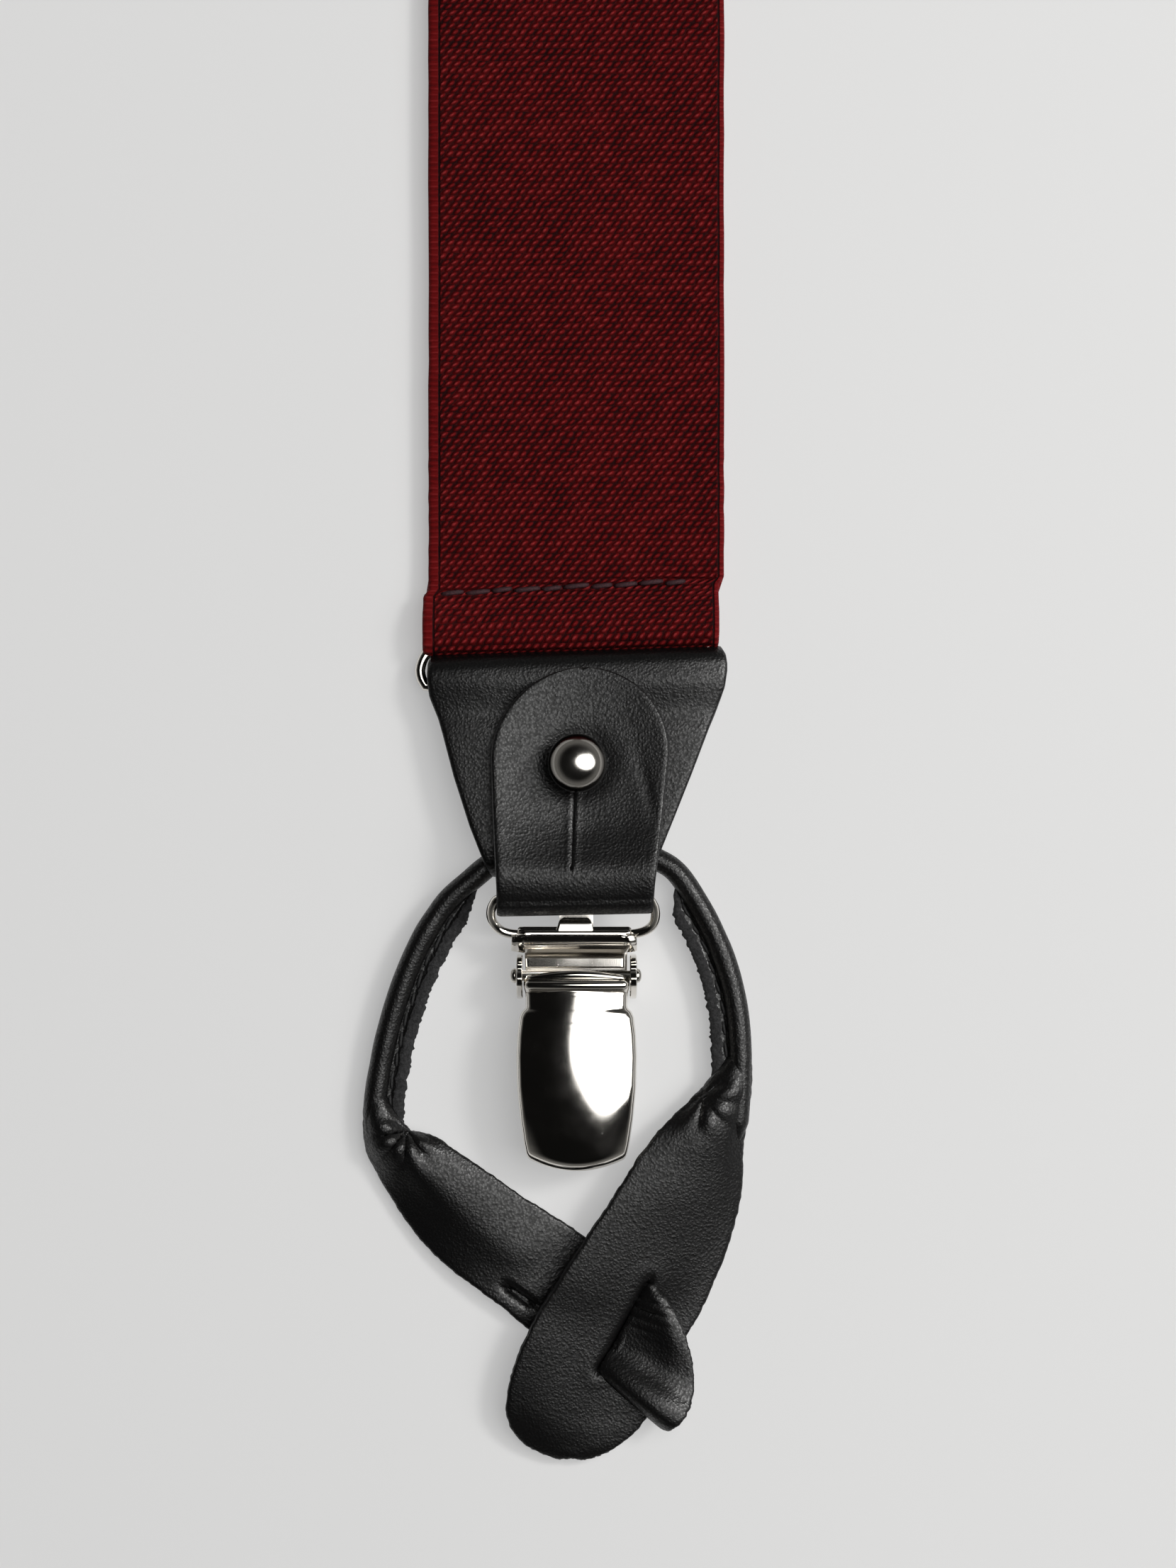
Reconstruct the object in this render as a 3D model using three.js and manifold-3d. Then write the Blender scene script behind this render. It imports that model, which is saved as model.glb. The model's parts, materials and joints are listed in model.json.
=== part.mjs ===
// Y-back suspenders for trousers with buttons or a waistband, laid out flat.
// Millimetres. +Z is up off the surface that the suspenders lie on, with z = 0 on that surface.
// The origin is under the middle of the leather back patch, on that surface.
// The back end points along -Y, the two front straps run along +Y and spread to the sides.
import * as THREE from "three";
import { mergeVertices } from "three/addons/utils/BufferGeometryUtils.js";
import Module from "manifold-3d";

// ---- straps
const WEB_WIDTH = 35.2;
const WEB_THICK = 1.1;
const BACK_STRAP_LENGTH = 215;
const FRONT_STRAP_LENGTH = 560;
const BACK_HEM_LENGTH = 16;
const FRONT_FOLD_LENGTH = 210;
const FRONT_ANGLE = 9;
const STRAP_GAP = 0.6;

// ---- leather back patch
const PATCH_THICK = 1.4;
const PATCH_MARGIN = 3.4;
const PATCH_LAP = 26;
const PATCH_CORNER = 6;

// ---- slide adjuster on each front strap
const ADJUSTER_LENGTH = 24;
const ADJUSTER_WALL = 1.0;
const ADJUSTER_PIN_RADIUS = 0.9;
const ADJUSTER_FROM_RING = 150;

// ---- webbing ring
const RING_WIRE_RADIUS = 0.65;
const RING_BAR_SPACING = 5.95;
const RING_OUTER_WIDTH = 36.1;
const RING_SHIFT = -0.8;

// ---- leather of the ends
const LEATHER = 1.1;
const YOKE_TOP_WIDTH = 34.6;
const YOKE_BOTTOM_WIDTH = 20.4;
const YOKE_TUNNEL_WIDTH = 15.6;
const YOKE_LENGTH = 26.2;
const ROLL_RADIUS = 1.3;
const TAB_WIDTH = 21;
const TAB_NECK_WIDTH = 18.6;
const TAB_LENGTH = 29.2;
const TAB_TOP = -1.6;
const STUD_PLACE = -12.9;
const STUD_BALL_RADIUS = 3.45;
const STUD_SHANK_RADIUS = 1.5;
const LOOP_TAB_THICK = 1.3;
const BUTTONHOLE_WIDTH = 1.6;

// ---- D-ring and clip
const DRING_WIRE_RADIUS = 0.6;
const DRING_WIDTH = 20.5;
const DRING_HEIGHT = 5.2;
const DRING_TILT = 34;
const CLIP_WIDTH = 13.6;
const CLIP_LENGTH = 27.9;
const CLIP_SHEET = 0.8;
const CLIP_PIN_RADIUS = 0.7;
const CLIP_JAW_GAP = 1.2;

// ---- clearances
const CLEAR = 0.3;

const wasm = await Module();
wasm.setup();

const RAD = Math.PI / 180;
const COLORS = {
  webbing: [0x5c0f16, 0.85, 0],
  leather: [0x1d1c1d, 0.55, 0],
  steel: [0xd8d6d2, 0.15, 1],
  rubber: [0x151515, 0.8, 0],
};

// ---------------------------------------------------------------- helpers

function solidOf(geometry) {
  const bare = geometry.clone();
  bare.deleteAttribute("normal");
  bare.deleteAttribute("uv");
  const merged = mergeVertices(bare, 1e-4);
  return new wasm.Manifold(
    new wasm.Mesh({
      numProp: 3,
      vertProperties: merged.attributes.position.array,
      triVerts: new Uint32Array(merged.index.array),
    }),
  );
}

function geometryOf(solid) {
  const mesh = solid.getMesh();
  const geometry = new THREE.BufferGeometry();
  geometry.setAttribute("position", new THREE.BufferAttribute(new Float32Array(mesh.vertProperties), 3));
  geometry.setIndex(new THREE.BufferAttribute(new Uint32Array(mesh.triVerts), 1));
  geometry.computeVertexNormals();
  return geometry;
}

// The first geometry with `added` joined to it and `removed` cut from it.
function shape(first, added = [], removed = []) {
  let solid = solidOf(first);
  for (const other of added) solid = solid.add(solidOf(other));
  for (const other of removed) solid = solid.subtract(solidOf(other));
  return geometryOf(solid);
}

function mesh(name, geometry, kind) {
  const [color, roughness, metalness] = COLORS[kind];
  const made = new THREE.Mesh(geometry, new THREE.MeshStandardMaterial({ color, roughness, metalness }));
  made.name = name;
  return made;
}

function box(x0, x1, y0, y1, z0, z1) {
  return new THREE.BoxGeometry(x1 - x0, y1 - y0, z1 - z0)
    .translate((x0 + x1) / 2, (y0 + y1) / 2, (z0 + z1) / 2);
}

// An outline in the XY plane, raised from z0 to z1.
function plate(outline, z0, z1, curveSegments = 6) {
  const flat = outline instanceof THREE.Shape ? outline : new THREE.Shape(outline.map(([x, y]) => new THREE.Vector2(x, y)));
  return new THREE.ExtrudeGeometry(flat, { depth: z1 - z0, bevelEnabled: false, curveSegments })
    .translate(0, 0, z0);
}

// A side profile of [y, z] points, drawn out along X from x0 to x1.
function sidePiece(profile, x0, x1) {
  const outline = new THREE.Shape(profile.map(([y, z]) => new THREE.Vector2(y, z)));
  const turned = new THREE.Matrix4().set(0, 0, 1, x0, 1, 0, 0, 0, 0, 1, 0, 0, 0, 0, 0, 1);
  return new THREE.ExtrudeGeometry(outline, { depth: x1 - x0, bevelEnabled: false })
    .applyMatrix4(turned);
}

// Points on an arc in a side profile, from angle a to angle b in degrees.
function arc(y, z, radius, a, b, steps) {
  const points = [];
  for (let i = 0; i <= steps; i++) {
    const t = (a + ((b - a) * i) / steps) * RAD;
    points.push([y + radius * Math.cos(t), z + radius * Math.sin(t)]);
  }
  return points;
}

// A round bar along X.
function barX(radius, x0, x1, y, z, sides = 16) {
  return new THREE.CylinderGeometry(radius, radius, x1 - x0, sides)
    .rotateZ(Math.PI / 2)
    .translate((x0 + x1) / 2, y, z);
}

// A closed wire whose centre line is a flat outline in the XY plane.
function wireLoop(outline, radius, sides = 8) {
  const count = outline.length;
  const positions = [];
  const index = [];
  for (let i = 0; i < count; i++) {
    const before = outline[(i + count - 1) % count];
    const after = outline[(i + 1) % count];
    const [x, y] = outline[i];
    const run = new THREE.Vector2(after[0] - before[0], after[1] - before[1]).normalize();
    for (let j = 0; j < sides; j++) {
      const t = (2 * Math.PI * (j + 0.5)) / sides;
      const out = radius * Math.cos(t);
      positions.push(x + run.y * out, y - run.x * out, radius * Math.sin(t));
    }
  }
  for (let i = 0; i < count; i++) {
    for (let j = 0; j < sides; j++) {
      const a = i * sides + j;
      const b = i * sides + ((j + 1) % sides);
      const c = ((i + 1) % count) * sides + j;
      const d = ((i + 1) % count) * sides + ((j + 1) % sides);
      index.push(a, c, b, b, c, d);
    }
  }
  const geometry = new THREE.BufferGeometry();
  geometry.setAttribute("position", new THREE.Float32BufferAttribute(positions, 3));
  geometry.setIndex(index);
  return geometry;
}

// An open tube through points, with flat ends.
function tube(points, radius, steps, sides = 8) {
  const curve = new THREE.CatmullRomCurve3(points.map((p) => new THREE.Vector3(...p)), false, "centripetal");
  const section = new THREE.Shape();
  for (let j = 0; j < sides; j++) {
    const t = (2 * Math.PI * j) / sides;
    const at = [radius * Math.cos(t), radius * Math.sin(t)];
    if (j === 0) section.moveTo(...at);
    else section.lineTo(...at);
  }
  return new THREE.ExtrudeGeometry(section, { steps, extrudePath: curve, bevelEnabled: false });
}

// ---------------------------------------------------------------- levels

const RING_Z = LEATHER + 1.2;
const WEB_BAR_Y = 2.35;
const YOKE_BAR_Y = WEB_BAR_Y - RING_BAR_SPACING;
const BAR_HOLE = RING_WIRE_RADIUS + CLEAR;
const WEB_FOLD_RADIUS = BAR_HOLE + WEB_THICK;
const STRAP_Z = 1.7;
const ROLL_Z = LEATHER + ROLL_RADIUS + CLEAR;
const ROLL_HOLE = ROLL_RADIUS + CLEAR;
const YOKE_FOLD_RADIUS = RING_Z;
const YOKE_FOLD_Y = -0.25 - YOKE_FOLD_RADIUS;
const YOKE_END_RADIUS = ROLL_Z;
const ROLL_Y = YOKE_END_RADIUS - YOKE_LENGTH;
const TAB_Z = 2 * YOKE_END_RADIUS + CLEAR;
const DRING_HOLE = DRING_WIRE_RADIUS + CLEAR;
const TAB_FOLD_RADIUS = DRING_HOLE + LEATHER;
const DRING_Y = TAB_TOP - TAB_LENGTH + TAB_FOLD_RADIUS;
const DRING_Z = TAB_Z + TAB_FOLD_RADIUS;

// ---------------------------------------------------------------- strap

// A strap along +Y from its fold round the ring's bar at WEB_BAR_Y, at its own STRAP_Z level.
function strapGeometry(length, foldLength) {
  const fold = WEB_BAR_Y;
  const under = STRAP_Z - WEB_THICK - 0.2;
  const half = WEB_WIDTH / 2;
  const profile = [
    [fold + 8, STRAP_Z + WEB_THICK],
    [fold + 3.2, RING_Z + WEB_FOLD_RADIUS - 0.5],
    ...arc(fold, RING_Z, WEB_FOLD_RADIUS, 75, 285, 10),
    [fold + 3.2, RING_Z - WEB_FOLD_RADIUS + 0.15],
    [fold + 8, under],
    [fold + foldLength, under],
    [fold + foldLength, STRAP_Z],
    [fold + length, STRAP_Z],
    [fold + length, STRAP_Z + WEB_THICK],
  ];
  const barHole = barX(BAR_HOLE, -half - 1, half + 1, fold, RING_Z);
  const reach = RING_OUTER_WIDTH / 2 - RING_BAR_SPACING / 2 - RING_WIRE_RADIUS;
  const notchTop = fold + RING_WIRE_RADIUS + CLEAR;
  const notches = [-1, 1].map((side) => {
    const inner = side * reach + RING_SHIFT;
    const outer = side * (half + 2);
    return box(Math.min(inner, outer), Math.max(inner, outer), fold - 5, notchTop, -1, 9);
  });
  return shape(sidePiece(profile, -half, half), [], [barHole, ...notches]);
}

// ---------------------------------------------------------------- end fitting

function ringGeometry() {
  const endRadius = RING_BAR_SPACING / 2;
  const straight = RING_OUTER_WIDTH / 2 - endRadius - RING_WIRE_RADIUS;
  const middle = (WEB_BAR_Y + YOKE_BAR_Y) / 2;
  const outline = [
    ...arc(RING_SHIFT + straight, middle, endRadius, -90, 90, 8),
    ...arc(RING_SHIFT - straight, middle, endRadius, 90, 270, 8),
  ];
  return wireLoop(outline, RING_WIRE_RADIUS).translate(0, 0, RING_Z);
}

// The folded leather band that joins the ring to the rolled loop.
function yokeGeometry() {
  const slope = Math.asin((YOKE_END_RADIUS - YOKE_FOLD_RADIUS) / (YOKE_FOLD_Y - ROLL_Y)) / RAD;
  const profile = [
    ...arc(YOKE_FOLD_Y, RING_Z, YOKE_FOLD_RADIUS, -90, 90 - slope, 8),
    ...arc(ROLL_Y, ROLL_Z, YOKE_END_RADIUS, 90 - slope, 270, 10),
  ];
  const reach = RING_OUTER_WIDTH / 2 - RING_BAR_SPACING / 2 - RING_WIRE_RADIUS;
  const neckTop = ROLL_Y + ROLL_HOLE + CLEAR;
  const notchBottom = YOKE_BAR_Y - RING_WIRE_RADIUS - CLEAR;
  const topHalf = YOKE_TOP_WIDTH / 2;
  const bottomHalf = YOKE_BOTTOM_WIDTH / 2;
  const neckHalf = YOKE_TUNNEL_WIDTH / 2;
  const sideAt = (y) => topHalf + ((bottomHalf - topHalf) * (y - notchBottom)) / (neckTop - notchBottom);
  const outline = [
    [reach + RING_SHIFT, 1],
    [reach + RING_SHIFT, notchBottom],
    [sideAt(notchBottom), notchBottom],
    [bottomHalf, neckTop],
    [neckHalf, neckTop],
    [neckHalf, -YOKE_LENGTH - 1],
    [-neckHalf, -YOKE_LENGTH - 1],
    [-neckHalf, neckTop],
    [-bottomHalf, neckTop],
    [-sideAt(notchBottom), notchBottom],
    [-reach + RING_SHIFT, notchBottom],
    [-reach + RING_SHIFT, 1],
  ];
  const band = solidOf(sidePiece(profile, -topHalf, topHalf))
    .intersect(solidOf(plate(outline.reverse(), -1, 12)));
  const slackFold = YOKE_FOLD_Y - YOKE_BAR_Y;
  const ringHole = sidePiece(
    [
      ...arc(YOKE_BAR_Y - 0.3, RING_Z, BAR_HOLE, 90, 270, 8),
      ...arc(YOKE_BAR_Y + slackFold, RING_Z, BAR_HOLE, -90, 90, 8),
    ],
    -topHalf - 1,
    topHalf + 1,
  );
  const rollHole = barX(ROLL_HOLE, -topHalf, topHalf, ROLL_Y, ROLL_Z, 20);
  const studHole = new THREE.CylinderGeometry(STUD_SHANK_RADIUS + CLEAR, STUD_SHANK_RADIUS + CLEAR, 20, 16)
    .rotateX(Math.PI / 2)
    .translate(0, STUD_PLACE, 0);
  const footRoom = new THREE.CylinderGeometry(STUD_BALL_RADIUS + CLEAR, STUD_BALL_RADIUS + CLEAR, 4, 20)
    .rotateX(Math.PI / 2)
    .translate(0, STUD_PLACE, STUD_FOOT_THICK + CLEAR - 2);
  return geometryOf(
    band.subtract(solidOf(ringHole)).subtract(solidOf(rollHole))
      .subtract(solidOf(studHole)).subtract(solidOf(footRoom)),
  );
}

const STUD_FOOT_THICK = 0.9;
const STUD_TOP_Z = TAB_Z + 2 * LEATHER;

// The stud's foot: a disc under the yoke and the shank up through the yoke and the tab.
function studBaseGeometry() {
  const profile = [
    [0, 0.1],
    [STUD_BALL_RADIUS, 0.1],
    [STUD_BALL_RADIUS, STUD_FOOT_THICK],
    [STUD_SHANK_RADIUS, STUD_FOOT_THICK],
    [STUD_SHANK_RADIUS, STUD_TOP_Z],
    [0, STUD_TOP_Z],
  ];
  return lathe(profile, 20).translate(0, STUD_PLACE, 0);
}

function lathe(profile, sides) {
  return new THREE.LatheGeometry(profile.map(([r, z]) => new THREE.Vector2(r, z)), sides)
    .rotateX(Math.PI / 2);
}

// The screwed-on ball that the tab's hole buttons over.
function studHeadGeometry() {
  const ball = STUD_BALL_RADIUS;
  const low = STUD_TOP_Z + CLEAR;
  const profile = [[0, low], [ball * 0.62, low]];
  for (let i = 0; i <= 5; i++) {
    const t = (-40 + 26 * i) * RAD;
    profile.push([ball * Math.cos(t), low + ball * 0.62 + ball * 0.8 * Math.sin(t)]);
  }
  profile.push([0, low + ball * 1.42]);
  return lathe(profile, 20).translate(0, STUD_PLACE, 0);
}

// The strip that holds the D-ring in its fold and buttons over the stud.
function tabGeometry() {
  const half = TAB_WIDTH / 2;
  const neck = TAB_NECK_WIDTH / 2;
  const foldHalf = DRING_WIDTH / 2 - 2 * DRING_WIRE_RADIUS - 2 * CLEAR;
  const foldTop = DRING_Y + DRING_WIRE_RADIUS + 1.2;
  const outline = new THREE.Shape();
  outline.moveTo(half, TAB_TOP - half);
  outline.absarc(0, TAB_TOP - half, half, 0, Math.PI, false);
  outline.lineTo(-neck, foldTop);
  outline.lineTo(-foldHalf, foldTop);
  outline.lineTo(-foldHalf, DRING_Y - 4);
  outline.lineTo(foldHalf, DRING_Y - 4);
  outline.lineTo(foldHalf, foldTop);
  outline.lineTo(neck, foldTop);
  const lapTop = STUD_PLACE - 5.5;
  const profile = [
    [lapTop, TAB_Z],
    [lapTop, TAB_Z + 0.1],
    [lapTop - 1, TAB_Z + LEATHER],
    [TAB_TOP + 1, TAB_Z - 0.2],
    [TAB_TOP + 1, TAB_Z - 0.2 + LEATHER],
    [lapTop, TAB_Z + 2 * LEATHER + 0.1],
    [DRING_Y + 2.5, TAB_Z + 2 * LEATHER + 0.5],
    ...arc(DRING_Y, DRING_Z, TAB_FOLD_RADIUS, 90, 270, 10),
  ];
  const strip = solidOf(sidePiece(profile.reverse(), -half, half))
    .intersect(solidOf(plate(outline, 0, 20, 10)));
  const wireHole = barX(DRING_HOLE, -half, half, DRING_Y, DRING_Z);
  const studHole = new THREE.CylinderGeometry(STUD_SHANK_RADIUS + CLEAR, STUD_SHANK_RADIUS + CLEAR, 30, 16)
    .rotateX(Math.PI / 2)
    .translate(0, STUD_PLACE, 0);
  const slit = box(-0.15, 0.15, STUD_PLACE - 12, STUD_PLACE, 0, 20);
  return geometryOf(strip.subtract(solidOf(wireHole)).subtract(solidOf(studHole)).subtract(solidOf(slit)));
}

function dRingGeometry() {
  const half = DRING_WIDTH / 2 - DRING_WIRE_RADIUS;
  const corner = 1;
  const footHalf = 6.6;
  const outline = [
    ...arc(half - corner, -corner, corner, 0, 90, 3),
    ...arc(-half + corner, -corner, corner, 90, 180, 3),
    [-half, 2.7 - DRING_HEIGHT],
    [-half + 0.5, 1.5 - DRING_HEIGHT],
    [-half + 1.5, 0.5 - DRING_HEIGHT],
    [-footHalf, -DRING_HEIGHT],
    [footHalf, -DRING_HEIGHT],
    [half - 1.5, 0.5 - DRING_HEIGHT],
    [half - 0.5, 1.5 - DRING_HEIGHT],
    [half, 2.7 - DRING_HEIGHT],
  ];
  return wireLoop(outline, DRING_WIRE_RADIUS);
}

// The rolled loop: one leather piece, rolled at the middle and flat at its two buttonhole tabs.
function loopGeometry() {
  const straight = YOKE_TUNNEL_WIDTH / 2 + 0.5;
  const low = LOOP_TAB_THICK;
  const path = [
    [-22.6, -61.5, low + 0.2],
    [-23.9, -56.6, low + 0.5],
    [-23.8, -52, 2],
    [-22.2, -44, 2.4],
    [-19.4, -36, ROLL_Z],
    [-15.9, -30, ROLL_Z],
    [-12.2, -26.6, ROLL_Z],
    [-straight - 1.4, ROLL_Y - 0.8, ROLL_Z],
    [-straight, ROLL_Y, ROLL_Z],
    [-straight + 1.5, ROLL_Y, ROLL_Z],
    [straight - 1.5, ROLL_Y, ROLL_Z],
    [straight, ROLL_Y, ROLL_Z],
    [straight + 1.4, ROLL_Y - 0.8, ROLL_Z],
    [12.4, -26.4, ROLL_Z],
    [16.3, -33, ROLL_Z],
    [18.7, -40, 2.6],
    [19.5, -47, 2.8],
    [19, -55, 3],
    [17.6, -60.5, 2.9],
  ];
  const roll = tube(path, ROLL_RADIUS, 64);
  const leftFlange = [
    [-22.8, -56.5], [-21.5, -46.5], [-18.6, -38.5], [-17.2, -39.2], [-19.6, -46.5], [-20.8, -55.8],
  ];
  const rightFlange = [
    [18.8, -52.6], [18.4, -46], [16.4, -38.6], [15, -39], [16.2, -46], [14.8, -52.2],
  ];
  const leftTab = [
    [-20.8, -55.8], [-16.9, -57.2], [-11.3, -61.2], [-6.4, -64.5], [0.3, -68.7], [5, -72.4],
    [8, -76], [4.2, -84.6], [-1.6, -82.8], [-5.8, -80.5], [-12.7, -74.9], [-19.3, -68.7],
    [-23.9, -61], [-25.1, -56.7], [-23.8, -54.5],
  ];
  const rightTab = [
    [14.8, -52.2], [11.2, -55.1], [6.3, -61], [1.7, -68.1], [-4.2, -77.5], [-7.6, -85.3],
    [-8.3, -89.5], [-6.7, -93], [-3.9, -94.9], [-0.7, -95.7], [2.5, -95.3], [5.6, -93.7],
    [8.1, -91.1], [13.1, -81], [17.2, -72.6], [19, -67], [19.6, -60], [19.9, -54],
  ];
  const tip = [
    [8.1, -74.7], [2.4, -84.8], [5.3, -88.4], [8.7, -91.4], [10.5, -92.1], [13.3, -88.8],
    [13.9, -85.9], [13.4, -82.5], [11.9, -78.9],
  ];
  const rightLow = low + 0.2;
  const rightHigh = rightLow + LOOP_TAB_THICK;
  const parts = [
    plate(leftFlange, 0.9, 2.4),
    plate(rightFlange, 1.8, 3.2),
    plate(leftTab, 0, low),
    plate(rightTab, rightLow, rightHigh),
    plate(tip, rightHigh + 0.2, rightHigh + 0.2 + LOOP_TAB_THICK),
    plate([[3.6, -76], [6.7, -76], [5.4, -83.2], [2.9, -82.6]], 0.5, rightHigh + 0.8),
  ];
  return shape(roll, parts, [buttonholeCut()]);
}

// The free end of the first tab's own buttonhole, beside the crossing.
function buttonholeCut() {
  const half = BUTTONHOLE_WIDTH / 2;
  return box(-6, 6, -half, half, -1, LOOP_TAB_THICK + 0.1)
    .rotateZ(-30 * RAD)
    .translate(-9.6, -71.5, 0);
}

// ---------------------------------------------------------------- clip

const PIN_Y = -4.9;
const PIN_Z = 0.4;
const CLIP_ROLL_OUTER = DRING_HOLE + CLIP_SHEET;
const CLIP_BACK_Z = -4.6;
const EAR_INNER = CLIP_WIDTH / 2 - 0.5;

function clipBaseGeometry() {
  const half = CLIP_WIDTH / 2 - 0.7;
  const ear = EAR_INNER + CLIP_SHEET;
  const rear = CLIP_BACK_Z + CLIP_SHEET;
  const earProfile = [
    [-7.8, CLIP_BACK_Z], [-2.4, CLIP_BACK_Z], [-2.4, 0.9], ...arc(PIN_Y, PIN_Z, 1.9, 20, 170, 7), [-7.8, -1.5],
  ].reverse();
  const parts = [
    box(-half, half, -CLIP_LENGTH + 0.8, 0.2, CLIP_BACK_Z, rear),
    box(-ear, ear, -7.8, -2.4, CLIP_BACK_Z, rear),
    sidePiece([[0.95, -0.3], [1.75, -0.3], [1.75, CLIP_BACK_Z], [0, CLIP_BACK_Z], [0, rear], [0.95, rear]].reverse(), 2.6, half),
    sidePiece([[0.95, -0.3], [1.75, -0.3], [1.75, CLIP_BACK_Z], [0, CLIP_BACK_Z], [0, rear], [0.95, rear]].reverse(), -half, -2.6),
    box(-half, half, -1.9, 0, DRING_HOLE, CLIP_ROLL_OUTER),
    box(-7.4, 7.4, -1.9, -0.1, DRING_HOLE, CLIP_ROLL_OUTER),
    sidePiece(earProfile, EAR_INNER, ear),
    sidePiece(earProfile, -ear, -EAR_INNER),
  ];
  const collar = barX(CLIP_ROLL_OUTER, -half, half, 0, 0);
  const cuts = [
    barX(DRING_HOLE, -9, 9, 0, 0),
    barX(CLIP_PIN_RADIUS + CLEAR, -9, 9, PIN_Y, PIN_Z),
  ];
  return shape(collar, parts, cuts);
}

function clipPinGeometry() {
  const end = EAR_INNER + CLIP_SHEET + 0.4;
  return barX(CLIP_PIN_RADIUS, -end, end, PIN_Y, PIN_Z);
}

// The domed cover that is pressed down to lock the jaw.
function clipLeverGeometry() {
  const top = (y) => 2.1 + 1.5 * Math.sin(Math.PI * Math.min(1, (y - -3.7) / (-CLIP_LENGTH + 3.7)));
  const upper = [];
  const lower = [];
  const steps = 10;
  for (let i = 0; i <= steps; i++) {
    const y = -3.7 + ((-CLIP_LENGTH + 3.7) * i) / steps;
    upper.push([y, top(y)]);
    lower.push([y, top(y) - CLIP_SHEET]);
  }
  const half = CLIP_WIDTH / 2;
  const waist = half - 1;
  const outline = new THREE.Shape();
  outline.moveTo(waist, -3);
  outline.lineTo(-waist, -3);
  outline.lineTo(-waist, -8.8);
  outline.lineTo(-half + 0.2, -9.4);
  outline.lineTo(-half, -15);
  outline.lineTo(-half + 1.1, -CLIP_LENGTH + 1.3);
  outline.quadraticCurveTo(0, -CLIP_LENGTH - 1.2, half - 1.1, -CLIP_LENGTH + 1.3);
  outline.lineTo(half, -15);
  outline.lineTo(half - 0.2, -9.4);
  outline.lineTo(waist, -8.8);
  let cover = solidOf(sidePiece([...lower, ...upper.reverse()].reverse(), -half, half))
    .intersect(solidOf(plate(outline, -6, 10, 8)));
  for (const side of [-1, 1]) {
    const x0 = side > 0 ? waist - CLIP_SHEET : -waist;
    const lug = sidePiece(
      [...arc(PIN_Y, PIN_Z, 1.5, 180, 360, 8), [PIN_Y + 1.2, 1.8], [PIN_Y - 1.5, 2.1]],
      x0,
      x0 + CLIP_SHEET,
    );
    cover = cover.add(solidOf(lug));
  }
  return geometryOf(cover.subtract(solidOf(barX(CLIP_PIN_RADIUS + 0.2, -9, 9, PIN_Y, PIN_Z))));
}

const JAW_AXIS_Y = -1.2;
const JAW_Z = CLIP_BACK_Z + CLIP_SHEET + CLIP_JAW_GAP;

// The plate under the cover that presses the cloth against the rear plate.
function clipJawGeometry() {
  const half = EAR_INNER - 0.9;
  const thick = 0.6;
  return shape(
    box(-half, half, -CLIP_LENGTH + 2, -2.2, JAW_Z, JAW_Z + thick),
    [box(-2, 2, -2.6, 2.3, JAW_Z, JAW_Z + thick)],
  );
}

function clipPadGeometry() {
  const half = EAR_INNER - 0.8;
  const z = CLIP_BACK_Z + CLIP_SHEET;
  return box(-half, half, -CLIP_LENGTH + 2, -CLIP_LENGTH + 11, z + 0.1, z + CLIP_JAW_GAP - CLEAR);
}

// ---------------------------------------------------------------- one whole end

function endFitting(name) {
  const end = new THREE.Group();
  const dRing = new THREE.Group();
  dRing.position.set(0, DRING_Y, DRING_Z);
  dRing.rotation.x = DRING_TILT * RAD;
  dRing.add(mesh(name + "_d_ring", dRingGeometry(), "steel"));
  const clip = new THREE.Group();
  clip.position.set(
    0,
    DRING_Y - DRING_HEIGHT * Math.cos(DRING_TILT * RAD),
    DRING_Z - DRING_HEIGHT * Math.sin(DRING_TILT * RAD),
  );
  clip.add(
    mesh(name + "_clip_base", clipBaseGeometry(), "steel"),
    mesh(name + "_clip_pin", clipPinGeometry(), "steel"),
    mesh(name + "_clip_lever", clipLeverGeometry(), "steel"),
    mesh(name + "_clip_jaw", clipJawGeometry(), "steel"),
    mesh(name + "_clip_pad", clipPadGeometry(), "rubber"),
  );
  end.add(
    mesh(name + "_webbing_ring", ringGeometry(), "steel"),
    mesh(name + "_yoke", yokeGeometry(), "leather"),
    mesh(name + "_button_loop", loopGeometry(), "leather"),
    mesh(name + "_clip_tab", tabGeometry(), "leather"),
    mesh(name + "_stud_base", studBaseGeometry(), "steel"),
    mesh(name + "_stud_head", studHeadGeometry(), "steel"),
    dRing,
    clip,
  );
  return end;
}

// ---------------------------------------------------------------- adjuster

const SLOT_LOW = STRAP_Z - WEB_THICK - 0.2 - CLEAR;
const SLOT_HIGH = STRAP_Z + WEB_THICK + CLEAR;
const ADJUSTER_PIN_Z = SLOT_HIGH + ADJUSTER_PIN_RADIUS + 0.9;

// A sleeve of sheet metal round both layers of the strap, with cheeks for the lever's pin.
function adjusterFrameGeometry() {
  const inner = WEB_WIDTH / 2 + CLEAR + 0.2;
  const outer = inner + ADJUSTER_WALL;
  const half = ADJUSTER_LENGTH / 2;
  const low = 0.05;
  const cheekTop = ADJUSTER_PIN_Z + ADJUSTER_PIN_RADIUS + 0.8;
  const floorPlate = box(-outer, outer, -half, half, low - 0.05, SLOT_LOW);
  const cheek = [[-half, low], [half, low], [half, cheekTop], [half - 5, cheekTop], [half - 9, 3.4], [-half, 3.4]];
  const parts = [
    sidePiece(cheek, inner, outer),
    sidePiece(cheek, -outer, -inner),
    box(-outer, outer, -half, -half + 2.5, SLOT_HIGH, SLOT_HIGH + ADJUSTER_WALL),
  ];
  const pinHole = barX(ADJUSTER_PIN_RADIUS + CLEAR, -outer - 1, outer + 1, half - 2.6, ADJUSTER_PIN_Z);
  return shape(floorPlate, parts, [pinHole]);
}

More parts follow.
